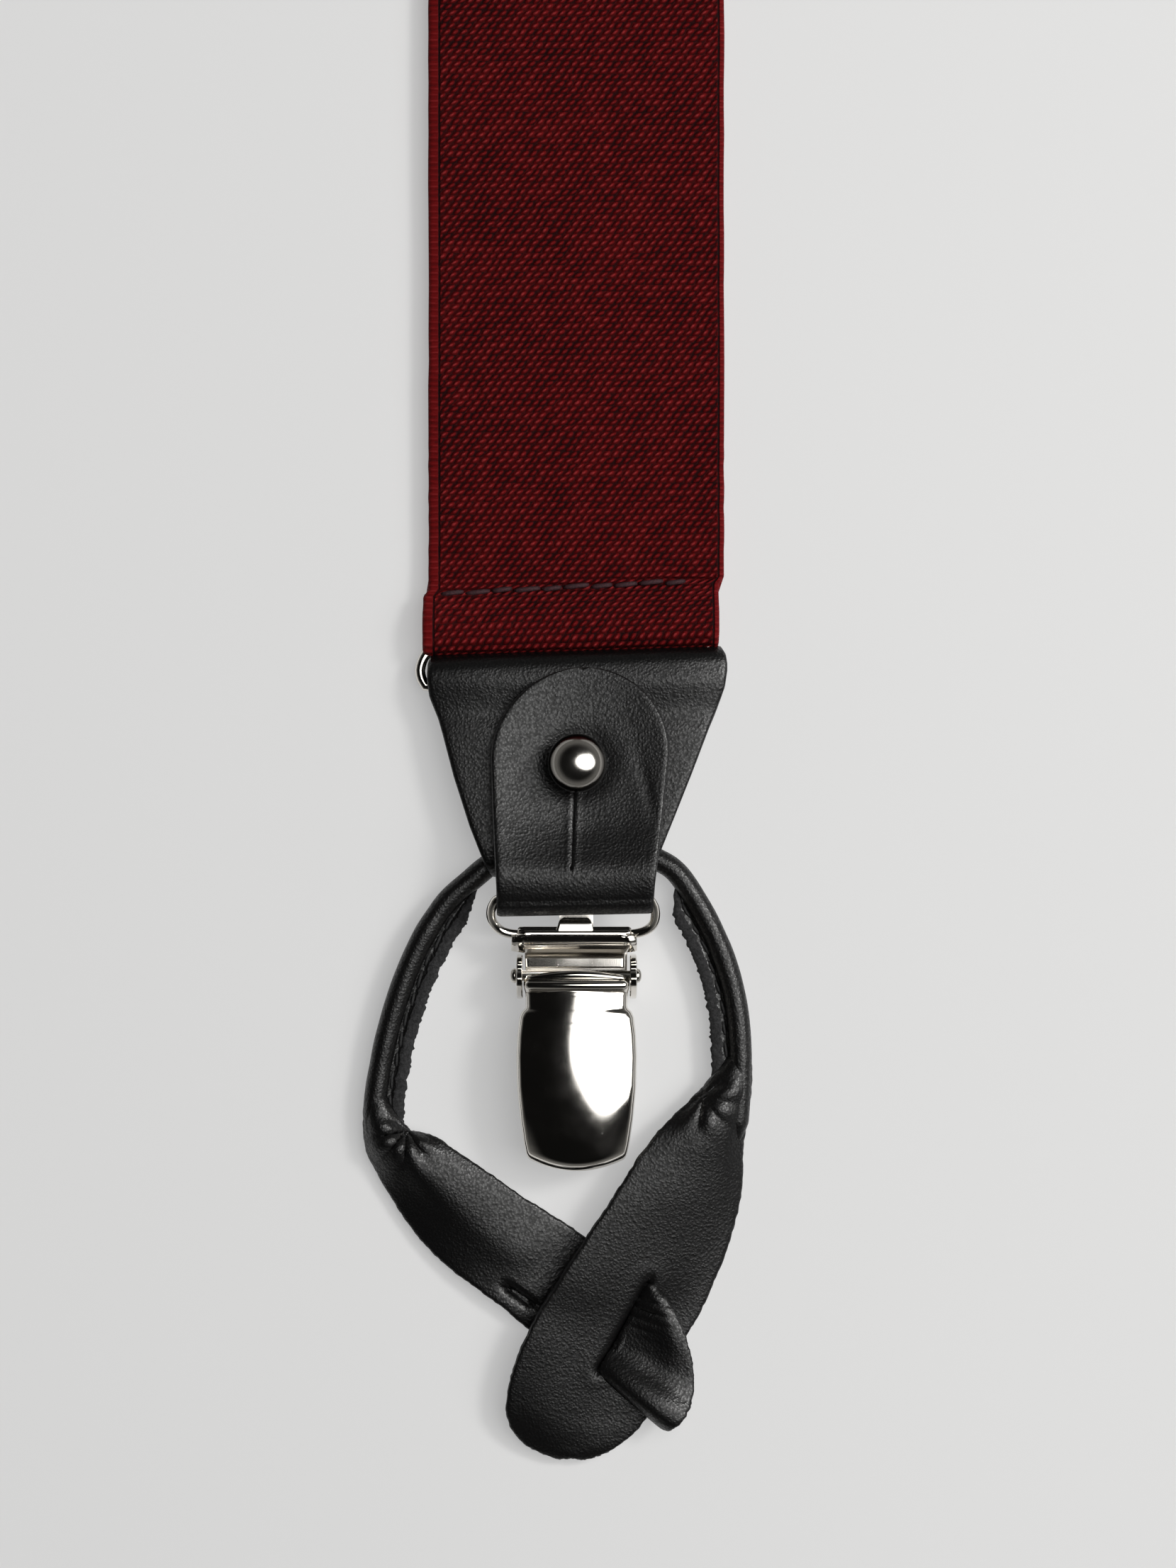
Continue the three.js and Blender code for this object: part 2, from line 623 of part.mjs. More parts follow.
function adjusterPinGeometry() {
  const end = WEB_WIDTH / 2 + CLEAR + 0.2 + ADJUSTER_WALL + 0.4;
  return barX(ADJUSTER_PIN_RADIUS, -end, end, ADJUSTER_LENGTH / 2 - 2.6, ADJUSTER_PIN_Z);
}

// The flap that grips the strap when it lies down.
function adjusterLeverGeometry() {
  const half = WEB_WIDTH / 2;
  const pinY = ADJUSTER_LENGTH / 2 - 2.6;
  const hub = ADJUSTER_PIN_RADIUS + 0.9;
  const profile = [
    ...arc(pinY, ADJUSTER_PIN_Z, hub, -80, 120, 8),
    [pinY - 4, ADJUSTER_PIN_Z + 1.9],
    [-ADJUSTER_LENGTH / 2 + 5, ADJUSTER_PIN_Z + 1.7],
    [-ADJUSTER_LENGTH / 2 - 0.5, ADJUSTER_PIN_Z + 0.8],
    [-ADJUSTER_LENGTH / 2 - 0.5, ADJUSTER_PIN_Z],
    [-ADJUSTER_LENGTH / 2 + 5, ADJUSTER_PIN_Z + 0.9],
    [pinY - 4, ADJUSTER_PIN_Z + 1.0],
    [pinY - hub, ADJUSTER_PIN_Z],
  ];
  const hole = barX(ADJUSTER_PIN_RADIUS + 0.2, -half - 1, half + 1, pinY, ADJUSTER_PIN_Z);
  return shape(sidePiece(profile, -half, half), [], [hole]);
}

function adjuster(name) {
  const made = new THREE.Group();
  made.add(
    mesh(name + "_adjuster_frame", adjusterFrameGeometry(), "steel"),
    mesh(name + "_adjuster_pin", adjusterPinGeometry(), "steel"),
    mesh(name + "_adjuster_lever", adjusterLeverGeometry(), "steel"),
  );
  return made;
}

// ---------------------------------------------------------------- patch

const PATCH_BASE_Y = WEB_BAR_Y + BACK_STRAP_LENGTH;
const FORK_X = WEB_WIDTH / 2 + STRAP_GAP;
const FORK_Y = PATCH_BASE_Y + STRAP_GAP + (WEB_WIDTH / 2) * Math.sin(FRONT_ANGLE * RAD) + 1;

// A rounded kite that covers the strap ends where the three straps meet.
function patchGeometry(z) {
  const low = PATCH_BASE_Y - PATCH_LAP;
  const side = WEB_WIDTH / 2 + PATCH_MARGIN;
  const shoulder = FORK_X + WEB_WIDTH / 2 + PATCH_MARGIN;
  const spread = shoulder + PATCH_LAP * Math.sin(FRONT_ANGLE * RAD);
  const high = FORK_Y + PATCH_LAP;
  const corner = PATCH_CORNER;
  const shoulderY = PATCH_BASE_Y - 5;
  const outline = new THREE.Shape();
  outline.moveTo(-side + corner, low);
  outline.lineTo(side - corner, low);
  outline.quadraticCurveTo(side, low, side, low + corner);
  outline.quadraticCurveTo(side + 2, shoulderY - corner, shoulder - corner, shoulderY - 2);
  outline.quadraticCurveTo(shoulder, shoulderY, shoulder, shoulderY + corner);
  outline.lineTo(spread, high - corner);
  outline.quadraticCurveTo(spread, high, spread - corner, high + 1);
  outline.quadraticCurveTo(0, high - 16, -spread + corner, high + 1);
  outline.quadraticCurveTo(-spread, high, -spread, high - corner);
  outline.lineTo(-shoulder, shoulderY + corner);
  outline.quadraticCurveTo(-shoulder, shoulderY, -shoulder + corner, shoulderY - 2);
  outline.quadraticCurveTo(-side - 2, shoulderY - corner, -side, low + corner);
  outline.quadraticCurveTo(-side, low, -side + corner, low);
  return plate(outline, z, z + PATCH_THICK, 8);
}

// ---------------------------------------------------------------- the suspenders

const suspenders = new THREE.Group();

suspenders.add(
  mesh("back_strap", strapGeometry(BACK_STRAP_LENGTH, BACK_HEM_LENGTH), "webbing"),
  mesh("back_patch_rear", patchGeometry(0), "leather"),
  mesh("back_patch_front", patchGeometry(STRAP_Z + WEB_THICK + CLEAR), "leather"),
  endFitting("back"),
);

for (const [name, side] of [["left", -1], ["right", 1]]) {
  // A front strap is drawn from its ring back towards the patch, then turned to point away.
  const half = new THREE.Group();
  const strap = mesh(name + "_strap", strapGeometry(FRONT_STRAP_LENGTH, FRONT_FOLD_LENGTH), "webbing");
  const slider = adjuster(name);
  slider.position.y = WEB_BAR_Y + ADJUSTER_FROM_RING;
  half.add(strap, slider, endFitting(name));
  half.rotation.z = Math.PI - side * FRONT_ANGLE * RAD;
  const reach = WEB_BAR_Y + FRONT_STRAP_LENGTH;
  half.position.set(
    side * (FORK_X + reach * Math.sin(FRONT_ANGLE * RAD)),
    FORK_Y + reach * Math.cos(FRONT_ANGLE * RAD),
    0,
  );
  suspenders.add(half);
}

suspenders.position.y = -PATCH_BASE_Y;

export default suspenders;
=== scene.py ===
"""Y-back suspenders with leather button-and-clip ends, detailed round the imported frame.

Shapes are worked out in millimetres in the frame of one end: x across the strap, y along it towards
the strap, z up off the table, with y = 0 at the line where webbing and leather meet. The same
functions make the back, left and right ends.
"""

import json
import math

import bmesh
import bpy
import numpy as np
from mathutils import Matrix, Vector


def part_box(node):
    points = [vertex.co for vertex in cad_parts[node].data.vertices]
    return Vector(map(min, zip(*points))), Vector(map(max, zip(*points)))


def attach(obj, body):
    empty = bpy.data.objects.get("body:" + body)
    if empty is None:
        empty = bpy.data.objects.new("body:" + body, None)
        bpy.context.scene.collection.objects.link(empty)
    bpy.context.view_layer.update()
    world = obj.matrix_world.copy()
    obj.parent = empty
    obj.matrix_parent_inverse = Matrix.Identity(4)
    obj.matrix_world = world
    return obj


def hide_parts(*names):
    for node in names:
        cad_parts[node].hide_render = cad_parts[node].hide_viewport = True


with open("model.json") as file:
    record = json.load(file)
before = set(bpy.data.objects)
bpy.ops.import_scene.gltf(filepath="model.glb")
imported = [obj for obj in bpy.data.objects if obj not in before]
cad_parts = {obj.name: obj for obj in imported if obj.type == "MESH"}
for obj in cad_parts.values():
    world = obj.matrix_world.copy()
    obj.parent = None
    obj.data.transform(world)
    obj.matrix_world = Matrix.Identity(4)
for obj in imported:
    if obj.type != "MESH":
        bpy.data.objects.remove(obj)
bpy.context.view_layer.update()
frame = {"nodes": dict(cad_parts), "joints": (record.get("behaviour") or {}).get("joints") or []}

MM = 0.001
JOINTS = {joint["name"]: joint for joint in frame["joints"]}
ENDS = ("back", "left", "right")

# Sizes that the frame's solids also have, in millimetres
WEB_WIDTH = 35.2
WEB_THICK = 1.1
STRAP_Z = 1.7
RING_BAR_Y = 2.35
RING_Z = 2.3
ROLL_Y = -23.5
ROLL_Z = 2.7
TAB_Z = 5.7
DRING_Y = -28.8
DRING_Z = 7.7
DRING_TILT = 34
STUD_Y = -12.9

# Sizes of the detail, in millimetres: a run or a tail is how far up a strap its upper or lower layer goes
BACK_RUN, FRONT_RUN = 217.2, 562.2
BACK_TAIL, FRONT_TAIL = 16.0, 210.0
TAIL_Z = 0.4
FOLD_CLIMB = 1.5
SEAM_LIFT = 0.02
BEVEL_SEGMENTS = 3


# ---- places

def end_matrix(end):
    """The matrix from an end's millimetres to the row frame's metres."""
    joint = JOINTS[end + "_ring_swing"]
    across = -Vector(joint["axis"])
    along = Vector((0, 0, 1)).cross(across)
    origin = Vector(joint["pos_m"]) - along * RING_BAR_Y * MM
    origin.z = 0
    rows = [[across[i] * MM, along[i] * MM, (0, 0, MM)[i], origin[i]] for i in range(3)]
    return Matrix(rows + [[0, 0, 0, 1]])


PLACE = {end: end_matrix(end) for end in ENDS}
PLACE["patch"] = Matrix.Diagonal((MM, MM, MM, 1))


# ---- curves and grids

def part(x):
    """x kept between 0 and 1."""
    return np.clip(x, 0, 1)


def unit(vectors):
    """Rows of vectors, each one scaled to length 1."""
    return vectors / np.linalg.norm(vectors, axis=1, keepdims=True)


def lengths(points):
    """How far each point is from the first, along the points."""
    return np.concatenate([[0], np.cumsum(np.linalg.norm(np.diff(points, axis=0), axis=1))])


def spline(points, t):
    """Catmull-Rom through points at parameters t, where each point is one unit further on."""
    p = np.asarray(points, float)
    t = np.clip(np.asarray(t, float), 0, len(p) - 1)
    i = np.minimum(t.astype(int), len(p) - 2)
    f = (t - i).reshape((-1,) + (1,) * (p.ndim - 1))
    ahead = np.vstack([2 * p[:1] - p[1:2], p, 2 * p[-1:] - p[-2:-1]])
    p0, p1, p2, p3 = ahead[i], ahead[i + 1], ahead[i + 2], ahead[i + 3]
    return 0.5 * (
        2 * p1 + (p2 - p0) * f + (2 * p0 - 5 * p1 + 4 * p2 - p3) * f**2
        + (3 * p1 - p0 - 3 * p2 + p3) * f**3
    )


def even(points, count, closed=False):
    """Evenly spaced points along a smooth curve through points."""
    p = np.asarray(points, float)
    if closed:
        p = np.vstack([p[-2:], p, p[:2]])
    first, last = (2, len(p) - 2) if closed else (0, len(p) - 1)
    dense = spline(p, np.linspace(first, last, 40 * len(p)))
    run = lengths(dense)
    at = np.linspace(0, run[-1], count + 1)[:-1] if closed else np.linspace(0, run[-1], count)
    return np.stack([np.interp(at, run, dense[:, k]) for k in range(p.shape[1])], axis=1)


def arc(y, z, radius, a, b, count):
    """Points (y, z) round a centre from angle a to angle b, in degrees."""
    t = np.radians(np.linspace(a, b, count))
    return [(y + radius * math.cos(v), z + radius * math.sin(v)) for v in t]


def edged(count, width, rim=0.5):
    """Parameters from 0 to 1 across a width in millimetres, closer together within rim of each edge."""
    r = rim / width
    near = np.array([0, 0.12, 0.4, 0.8]) * r
    return np.concatenate([near, np.linspace(1.5 * r, 1 - 1.5 * r, count), 1 - near[::-1]])


def noise_at(x, y, seed=0):
    """Smooth repeatable noise from -1 to 1 for arrays x and y."""
    def corner(i, j):
        v = np.sin(i * 127.1 + j * 311.7 + seed * 74.7) * 43758.5453
        return 2 * (v - np.floor(v)) - 1
    i, j = np.floor(x), np.floor(y)
    f, g = x - i, y - j
    f, g = f * f * (3 - 2 * f), g * g * (3 - 2 * g)
    low = corner(i, j) * (1 - f) + corner(i + 1, j) * f
    high = corner(i, j + 1) * (1 - f) + corner(i + 1, j + 1) * f
    return low * (1 - g) + high * g


def bell(x, width):
    """A bump of height 1 at x = 0."""
    return np.exp(-((x / width) ** 2))


# ---- meshes

def mesh_from(name, vertices, faces, matrix, uv=None, kinds=None):
    """A smooth-shaded mesh from millimetre vertices placed by matrix."""
    mesh = bpy.data.meshes.new(name)
    placed = np.asarray(vertices, float) @ np.array(matrix.to_3x3()).T + np.array(matrix.translation)
    mesh.from_pydata(placed.tolist(), [], [list(map(int, f)) for f in faces])
    if uv is not None:
        layer = mesh.uv_layers.new(name="Cloth")
        index = np.empty(len(mesh.loops), int)
        mesh.loops.foreach_get("vertex_index", index)
        layer.data.foreach_set("uv", np.asarray(uv, np.float32)[index].ravel())
    if kinds is not None:
        mesh.polygons.foreach_set("material_index", np.asarray(kinds, np.int32))
    mesh.polygons.foreach_set("use_smooth", [True] * len(mesh.polygons))
    mesh.update()
    return mesh


def grid_faces(rows, columns, start=0, wrap_rows=False, wrap_columns=False, flip=False):
    """The quads of a grid whose vertices are numbered row by row from start."""
    i = np.arange(rows if wrap_rows else rows - 1)
    j = np.arange(columns if wrap_columns else columns - 1)
    i, j = np.meshgrid(i, j, indexing="ij")
    i2, j2 = (i + 1) % rows, (j + 1) % columns
    quads = np.stack([i * columns + j, i * columns + j2, i2 * columns + j2, i2 * columns + j], axis=-1)
    quads = quads.reshape(-1, 4) + start
    return quads[:, ::-1] if flip else quads


def grid_normals(grid):
    """A unit normal at each point of a grid."""
    run = np.gradient(grid, axis=0)
    over = np.gradient(grid, axis=1)
    n = np.cross(over, run)
    length = np.linalg.norm(n, axis=-1, keepdims=True)
    return n / np.maximum(length, 1e-9)


def border_distance(grid):
    """How far each grid point is from the nearest edge, measured along rows and columns."""
    across = np.linalg.norm(np.diff(grid, axis=1), axis=2)
    across = np.concatenate([np.zeros((len(grid), 1)), np.cumsum(across, axis=1)], axis=1)
    across = np.minimum(across, across[:, -1:] - across)
    along = np.linalg.norm(np.diff(grid, axis=0), axis=2)
    along = np.concatenate([np.zeros((1, grid.shape[1])), np.cumsum(along, axis=0)], axis=0)
    along = np.minimum(along, along[-1:] - along)
    return np.minimum(across, along)


def sheet(grid, thick, rim=0.55, edge=0.45):
    """A sheet round a grid as (vertices, faces, kinds), thinner near its border: kind 1 is the cut edge."""
    rows, columns = grid.shape[:2]
    normal = grid_normals(grid)
    near = part(border_distance(grid) / rim)
    half = thick / 2 * (edge + (1 - edge) * np.sqrt(1 - (1 - near) ** 2))
    top = (grid + normal * half[..., None]).reshape(-1, 3)
    low = (grid - normal * half[..., None]).reshape(-1, 3)
    count = rows * columns
    faces = [grid_faces(rows, columns), grid_faces(rows, columns, count, flip=True)]
    ring = np.concatenate([
        np.arange(columns),
        np.arange(1, rows) * columns + columns - 1,
        np.arange(columns - 2, -1, -1) + (rows - 1) * columns,
        np.arange(rows - 2, 0, -1) * columns,
    ])
    after = np.roll(ring, -1)
    rim_faces = np.stack([after, ring, ring + count, after + count], axis=1)
    kinds = np.repeat([0, 1], [len(faces[0]) + len(faces[1]), len(rim_faces)])
    return np.vstack([top, low]), np.vstack(faces + [rim_faces]), kinds


def sweep(path, section, closed=False, up=(0, 0, 1), scale=None):
    """A section of (side, height) points along a path, capped at both ends unless closed."""
    path = np.asarray(path, float)
    section = np.asarray(section, float)
    run = np.roll(path, -1, axis=0) - np.roll(path, 1, axis=0) if closed else np.gradient(path, axis=0)
    run = unit(run)
    side = unit(np.cross(run, np.asarray(up, float)))
    rise = np.cross(side, run)
    if section.ndim == 2:
        section = np.repeat(section[None], len(path), axis=0)
    if scale is not None:
        section = section * np.asarray(scale, float)[:, None, None]
    vertices = path[:, None] + section[..., :1] * side[:, None] + section[..., 1:] * rise[:, None]
    rows, columns = vertices.shape[:2]
    faces = list(grid_faces(rows, columns, wrap_rows=closed, wrap_columns=True))
    if not closed:
        faces.append(list(range(columns))[::-1])
        faces.append(list(range((rows - 1) * columns, rows * columns)))
    return vertices.reshape(-1, 3), faces


def circle(radius, count, flat=1.0):
    """A round section, or an oval one whose height is flat times its width."""
    t = np.linspace(0, 2 * math.pi, count, endpoint=False)
    return np.stack([radius * np.cos(t), radius * flat * np.sin(t)], axis=1)


def lathe(profile, count):
    """A body of revolution about z from (radius, z) points that start and end on the axis."""
    profile = np.asarray(profile, float)
    inner = profile[1:-1]
    t = np.linspace(0, 2 * math.pi, count, endpoint=False)
    ring = np.stack([
        inner[:, None, 0] * np.cos(t), inner[:, None, 0] * np.sin(t), np.repeat(inner[:, 1:], count, axis=1),
    ], axis=-1)
    vertices = np.vstack([ring.reshape(-1, 3), [0, 0, profile[0, 1]], [0, 0, profile[-1, 1]]])
    faces = list(grid_faces(len(inner), count, wrap_columns=True))
    first, last = len(vertices) - 2, len(vertices) - 1
    base = (len(inner) - 1) * count
    for j in range(count):
        k = (j + 1) % count
        faces.append([k, j, first])
        faces.append([base + j, base + k, last])
    return vertices, faces


def joined(parts):
    """Several (vertices, faces[, kinds]) as one."""
    vertices, faces, kinds, start = [], [], [], 0
    for part in parts:
        vertices.append(np.asarray(part[0], float))
        faces += [[int(v) + start for v in f] for f in part[1]]
        kinds += list(part[2]) if len(part) > 2 else [0] * len(part[1])
        start += len(part[0])
    return np.vstack(vertices), faces, kinds


def outward(mesh):
    """Turns every face of a closed mesh outwards."""
    work = bmesh.new()
    work.from_mesh(mesh)
    bmesh.ops.recalc_face_normals(work, faces=work.faces)
    work.to_mesh(mesh)
    work.free()


def round_edges(solid, width, angle):
    """Bevels the edges that are sharper than an angle, by a width in millimetres."""
    modifier = solid.modifiers.new("Bevel", "BEVEL")
    modifier.width = width * MM
    modifier.segments = BEVEL_SEGMENTS
    modifier.limit_method = "ANGLE"
    modifier.angle_limit = math.radians(angle)
    modifier.harden_normals = True


def piece(end, name, shape, body, material, stands_for=None, shift=(0, 0, 0), uv=None, bevel=None):
    """Makes an object of a millimetre shape on one end, parents it to the body it rides on, and hides the
    frame's solid that it stands for.
    """
    sorts = material if isinstance(material, list) else [material]
    kinds = shape[2] if len(shape) > 2 and len(sorts) > 1 else None
    matrix = PLACE[end] @ Matrix.Translation(shift)
    mesh = mesh_from(f"{end}_{name}", shape[0], shape[1], matrix, uv, kinds)
    outward(mesh)
    made = bpy.data.objects.new(mesh.name, mesh)
    bpy.context.scene.collection.objects.link(made)
    for sort in sorts:
        mesh.materials.append(sort)
    if bevel:
        round_edges(made, bevel, 35)
    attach(made, body if body == "root" else f"{end}_{body}")
    if stands_for:
        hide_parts(f"{end}_{stands_for}")


# ---- materials

class Shader:
    """A material's node tree with short ways to add nodes and write sums."""

    def __init__(self, name):
        self.material = bpy.data.materials.new(name)
        self.material.use_nodes = True
        self.tree = self.material.node_tree
        self.body = self.tree.nodes["Principled BSDF"]

    def node(self, kind, inputs=None, **settings):
        made = self.tree.nodes.new(kind)
        for key, value in settings.items():
            setattr(made, key, value)
        for key, value in (inputs or {}).items():
            self.set(made.inputs[key], value)
        return made

    def set(self, socket, value):
        if isinstance(value, bpy.types.NodeSocket):
            self.tree.links.new(value, socket)
        else:
            socket.default_value = value

    def math(self, operation, a, b=0.0, c=0.0):
        made = self.node("ShaderNodeMath", {0: a, 1: b, 2: c}, operation=operation)
        return made.outputs[0]

    def ramp(self, value, low, high, to_low=0.0, to_high=1.0):
        made = self.node("ShaderNodeMapRange", {
            "Value": value, "From Min": low, "From Max": high, "To Min": to_low, "To Max": to_high,
        }, clamp=True, interpolation_type="SMOOTHSTEP")
        return made.outputs["Result"]

    def mix(self, factor, a, b):
        made = self.node("ShaderNodeMix", data_type="RGBA")
        self.set(made.inputs[0], factor)
        self.set(made.inputs[6], a if isinstance(a, bpy.types.NodeSocket) else (*a, 1))
        self.set(made.inputs[7], b if isinstance(b, bpy.types.NodeSocket) else (*b, 1))
        return made.outputs[2]

    def noise(self, vector, scale, detail=3.0, roughness=0.55):
        made = self.node("ShaderNodeTexNoise", {
            "Vector": vector, "Scale": scale, "Detail": detail, "Roughness": roughness,
        })
        return made.outputs["Fac"]

    def cells(self, vector, scale, feature="F1", output="Distance"):
        made = self.node("ShaderNodeTexVoronoi", {"Vector": vector, "Scale": scale}, feature=feature)
        return made.outputs[output]

    def place(self):
        return self.node("ShaderNodeTexCoord").outputs["Object"]

    def bump(self, height, strength, distance_mm, below=None):
        inputs = {"Height": height, "Strength": strength, "Distance": distance_mm * MM}
        if below is not None:
            inputs["Normal"] = below
        return self.node("ShaderNodeBump", inputs).outputs["Normal"]

    def surface(self, color=None, **sockets):
        if color is not None:
            value = color if isinstance(color, bpy.types.NodeSocket) else (*color, 1)
            self.set(self.body.inputs["Base Color"], value)
        for key, value in sockets.items():
            self.set(self.body.inputs[key.replace("_", " ")], value)


def webbing_material():
    """Elastic webbing: diagonal rows of small yarn floats over gaps painted dark as shade, in strap
    millimetres.
    """
    s = Shader("burgundy_webbing")
    across_pitch, along_pitch, lean = 1.0, 0.76, 0.56
    middle, edge_at = 0.3, 16.6
    uv = s.node("ShaderNodeUVMap", uv_map="Cloth").outputs["UV"]
    split = s.node("ShaderNodeSeparateXYZ", {0: uv})
    wobble = s.noise(uv, 0.35, 2.0)
    x = s.math("MULTIPLY_ADD", wobble, 0.55, split.outputs[0])
    y = s.math("MULTIPLY_ADD", wobble, -0.3, split.outputs[1])
    row_place = s.math("DIVIDE", y, along_pitch)
    row = s.math("FLOOR", row_place)
    q = s.math("SUBTRACT", s.math("SUBTRACT", row_place, row), 0.5)
    column_place = s.math("MULTIPLY_ADD", row, -lean, s.math("DIVIDE", x, across_pitch))
    # each float leans, so its own column shifts with the height inside the row
    leaning = s.math("MULTIPLY_ADD", q, -0.6, column_place)
    column = s.math("FLOOR", leaning)
    p = s.math("SUBTRACT", s.math("SUBTRACT", leaning, column), 0.5)
    cell = s.node("ShaderNodeCombineXYZ", {0: column, 1: row, 2: 0.0}).outputs[0]
    chance = s.node("ShaderNodeTexWhiteNoise", {"Vector": cell}).outputs["Value"]
    far = s.math("SQRT", s.math(
        "ADD",
        s.math("MULTIPLY", s.math("MULTIPLY", p, p), 5.6),
        s.math("MULTIPLY", s.math("MULTIPLY", q, q), 3.6),
    ))
    height = s.ramp(far, 1.12, 0.1)
    fibre_place = s.node("ShaderNodeCombineXYZ", {
        0: s.math("MULTIPLY", leaning, 16.0), 1: s.math("MULTIPLY", row_place, 2.2), 2: chance,
    }).outputs[0]
    fibre = s.noise(fibre_place, 1.0, 2.0)
    yarn = s.math("MULTIPLY", height, s.math("MULTIPLY_ADD", chance, 0.35, 0.75))
    lifted = s.math("MULTIPLY_ADD", fibre, 0.22, yarn)
    # selvages: plain ribs beside a groove, whose colour below is painted dark as painted shade
    from_middle = s.math("ABSOLUTE", s.math("SUBTRACT", split.outputs[0], middle))
    line = s.ramp(s.math("ABSOLUTE", s.math("SUBTRACT", from_middle, edge_at)), 0.05, 0.17)
    selvage = s.ramp(from_middle, edge_at + 0.05, edge_at + 0.15)
    rib = s.math("MULTIPLY_ADD", s.math("SINE", s.math("MULTIPLY", y, 8.6)), 0.2, 0.55)
    relief = s.math("MULTIPLY", s.mix(selvage, lifted, rib), line)
    patches = s.noise(uv, 0.06, 3.0)
    # the colour follows the relief: painted highlight on the yarn tops, painted shade in the gaps and the
    # selvage groove; chance and patches add random tone
    dark = (0.008, 0.0005, 0.0008)
    mid = (0.14, 0.0035, 0.0045)
    light = (0.26, 0.021, 0.023)
    shade = s.math("MULTIPLY_ADD", chance, 0.14, s.math("MULTIPLY", relief, 0.78))
    shade = s.math("MULTIPLY_ADD", patches, 0.16, shade)
    low = s.mix(s.ramp(shade, 0.12, 0.55), dark, mid)
    color = s.mix(s.ramp(shade, 0.62, 1.02), low, light)
    s.surface(color, Roughness=s.ramp(fibre, 0.3, 0.7, 0.62, 0.82), Normal=s.bump(relief, 1.0, 0.42),
              Specular_IOR_Level=0.1)
    return s.material


def leather_material():
    """Smooth black leather: fine pebble grain, softer creases, and a satin finish, with painted sheen on the
    grain tops and painted shade in the creases.
    """
    s = Shader("black_leather")
    place = s.place()
    drift = s.noise(place, 160.0, 2.0)
    pebble = s.cells(place, 3600.0, "SMOOTH_F1")
    fine = s.noise(place, 9000.0, 2.0)
    furrow = s.noise(place, 2600.0, 3.0, 0.6)
    height = s.math("MULTIPLY_ADD", pebble, -0.9, s.math("MULTIPLY", furrow, 0.7))
    height = s.math("MULTIPLY_ADD", fine, 0.25, height)
    # painted sheen and shade: the colour is lighter on the grain tops and darker in the creases; the same
    # mask also sets roughness and specular
    grain_height_painted_sheen = s.ramp(height, -0.2, 0.45)
    color = s.mix(grain_height_painted_sheen, (0.0016, 0.0015, 0.0016), (0.0034, 0.0032, 0.0033))
    normal = s.bump(drift, 0.05, 0.6)
    normal = s.bump(height, 0.75, 0.062, normal)
    s.surface(color, Roughness=s.ramp(grain_height_painted_sheen, 0, 1, 0.42, 0.29), Normal=normal,
              Specular_IOR_Level=s.ramp(grain_height_painted_sheen, 0, 1, 0.36, 0.62))
    return s.material


def fibre_material(name, scale, low, high, dark, light, roughness, strength, depth):
    """Raw leather: loose dyed fibres, matt and slightly fuzzy."""
    s = Shader(name)
    fibre = s.noise(s.place(), scale, 5.0, 0.7)
    color = s.mix(s.ramp(fibre, low, high), dark, light)
    s.surface(color, Roughness=roughness, Normal=s.bump(fibre, strength, depth))
    return s.material


def nickel_material(name="polished_nickel", rough=0.07, dust=0.35, painted_shade_heights=None):
    """Polished nickel with faint wear and specks of dust.

    Where the last argument gives two heights in millimetres, the colour is painted dark below the first as
    painted shade, and left as it is above the second.
    """
    s = Shader(name)
    place = s.place()
    smear = s.noise(place, 180.0, 4.0, 0.6)
    speck_far = s.cells(place, 1500.0)
    spread = s.noise(place, 420.0, 2.0)
    speck = s.math("MULTIPLY", s.ramp(speck_far, 0.15, 0.06), s.ramp(spread, 0.56, 0.66))
    speck = s.math("MULTIPLY", speck, dust)
    scratch_place = s.node("ShaderNodeMapping", {"Vector": place, "Scale": (9000, 260, 260)}).outputs[0]
    scratch = s.noise(scratch_place, 1.0, 2.0)
    roughness = s.math("ADD", s.ramp(smear, 0.35, 0.75, rough, rough + 0.07), s.math("MULTIPLY", speck, 0.5))
    color = s.mix(speck, (0.74, 0.71, 0.66), (0.5, 0.49, 0.46))
    if painted_shade_heights:
        # painted shade: darker towards the bottom of the piece, below the given heights
        height = s.node("ShaderNodeSeparateXYZ", {0: place}).outputs[2]
        color = s.mix(s.ramp(height, painted_shade_heights[0] * MM, painted_shade_heights[1] * MM), (0.045, 0.04, 0.035), color)
    s.surface(color, Metallic=1.0, Roughness=roughness, Normal=s.bump(scratch, 0.035, 0.01))
    return s.material


def thread_material(name, tone):
    """Sewing thread in one colour, with painted shade where the bump sinks between its twists."""
    s = Shader(name)
    twist = s.noise(s.place(), 3800.0, 3.0)
    # painted shade: the colour darkens with the same noise that lowers the bump
    color = s.mix(s.ramp(twist, 0.35, 0.65), tuple(0.45 * c for c in tone), tone)
    s.surface(color, Roughness=0.75, Normal=s.bump(twist, 0.7, 0.12))
    return s.material


def rubber_material():
    """The matt black grip insert on the clip's rear plate."""
    s = Shader("black_grip_rubber")
    speckle = s.noise(s.place(), 4200.0, 3.0)
    roughness = s.ramp(speckle, 0.3, 0.7, 0.6, 0.8)
    s.surface((0.012, 0.012, 0.012), Roughness=roughness, Normal=s.bump(speckle, 0.3, 0.05))
    return s.material


WEBBING = webbing_material()
LEATHER_SKIN = leather_material()
LEATHER_EDGE = fibre_material(
    "leather_cut_edge", 3600.0, 0.35, 0.7, (0.006, 0.006, 0.0065), (0.028, 0.027, 0.028), 0.85, 0.8, 0.2)
LEATHER_FLESH = fibre_material(
    "leather_flesh_side", 2600.0, 0.3, 0.75, (0.008, 0.008, 0.0085), (0.045, 0.045, 0.047), 0.9, 0.9, 0.25)
NICKEL = nickel_material()
NICKEL_SOFT = nickel_material("nickel_inside", 0.18, 0.5)
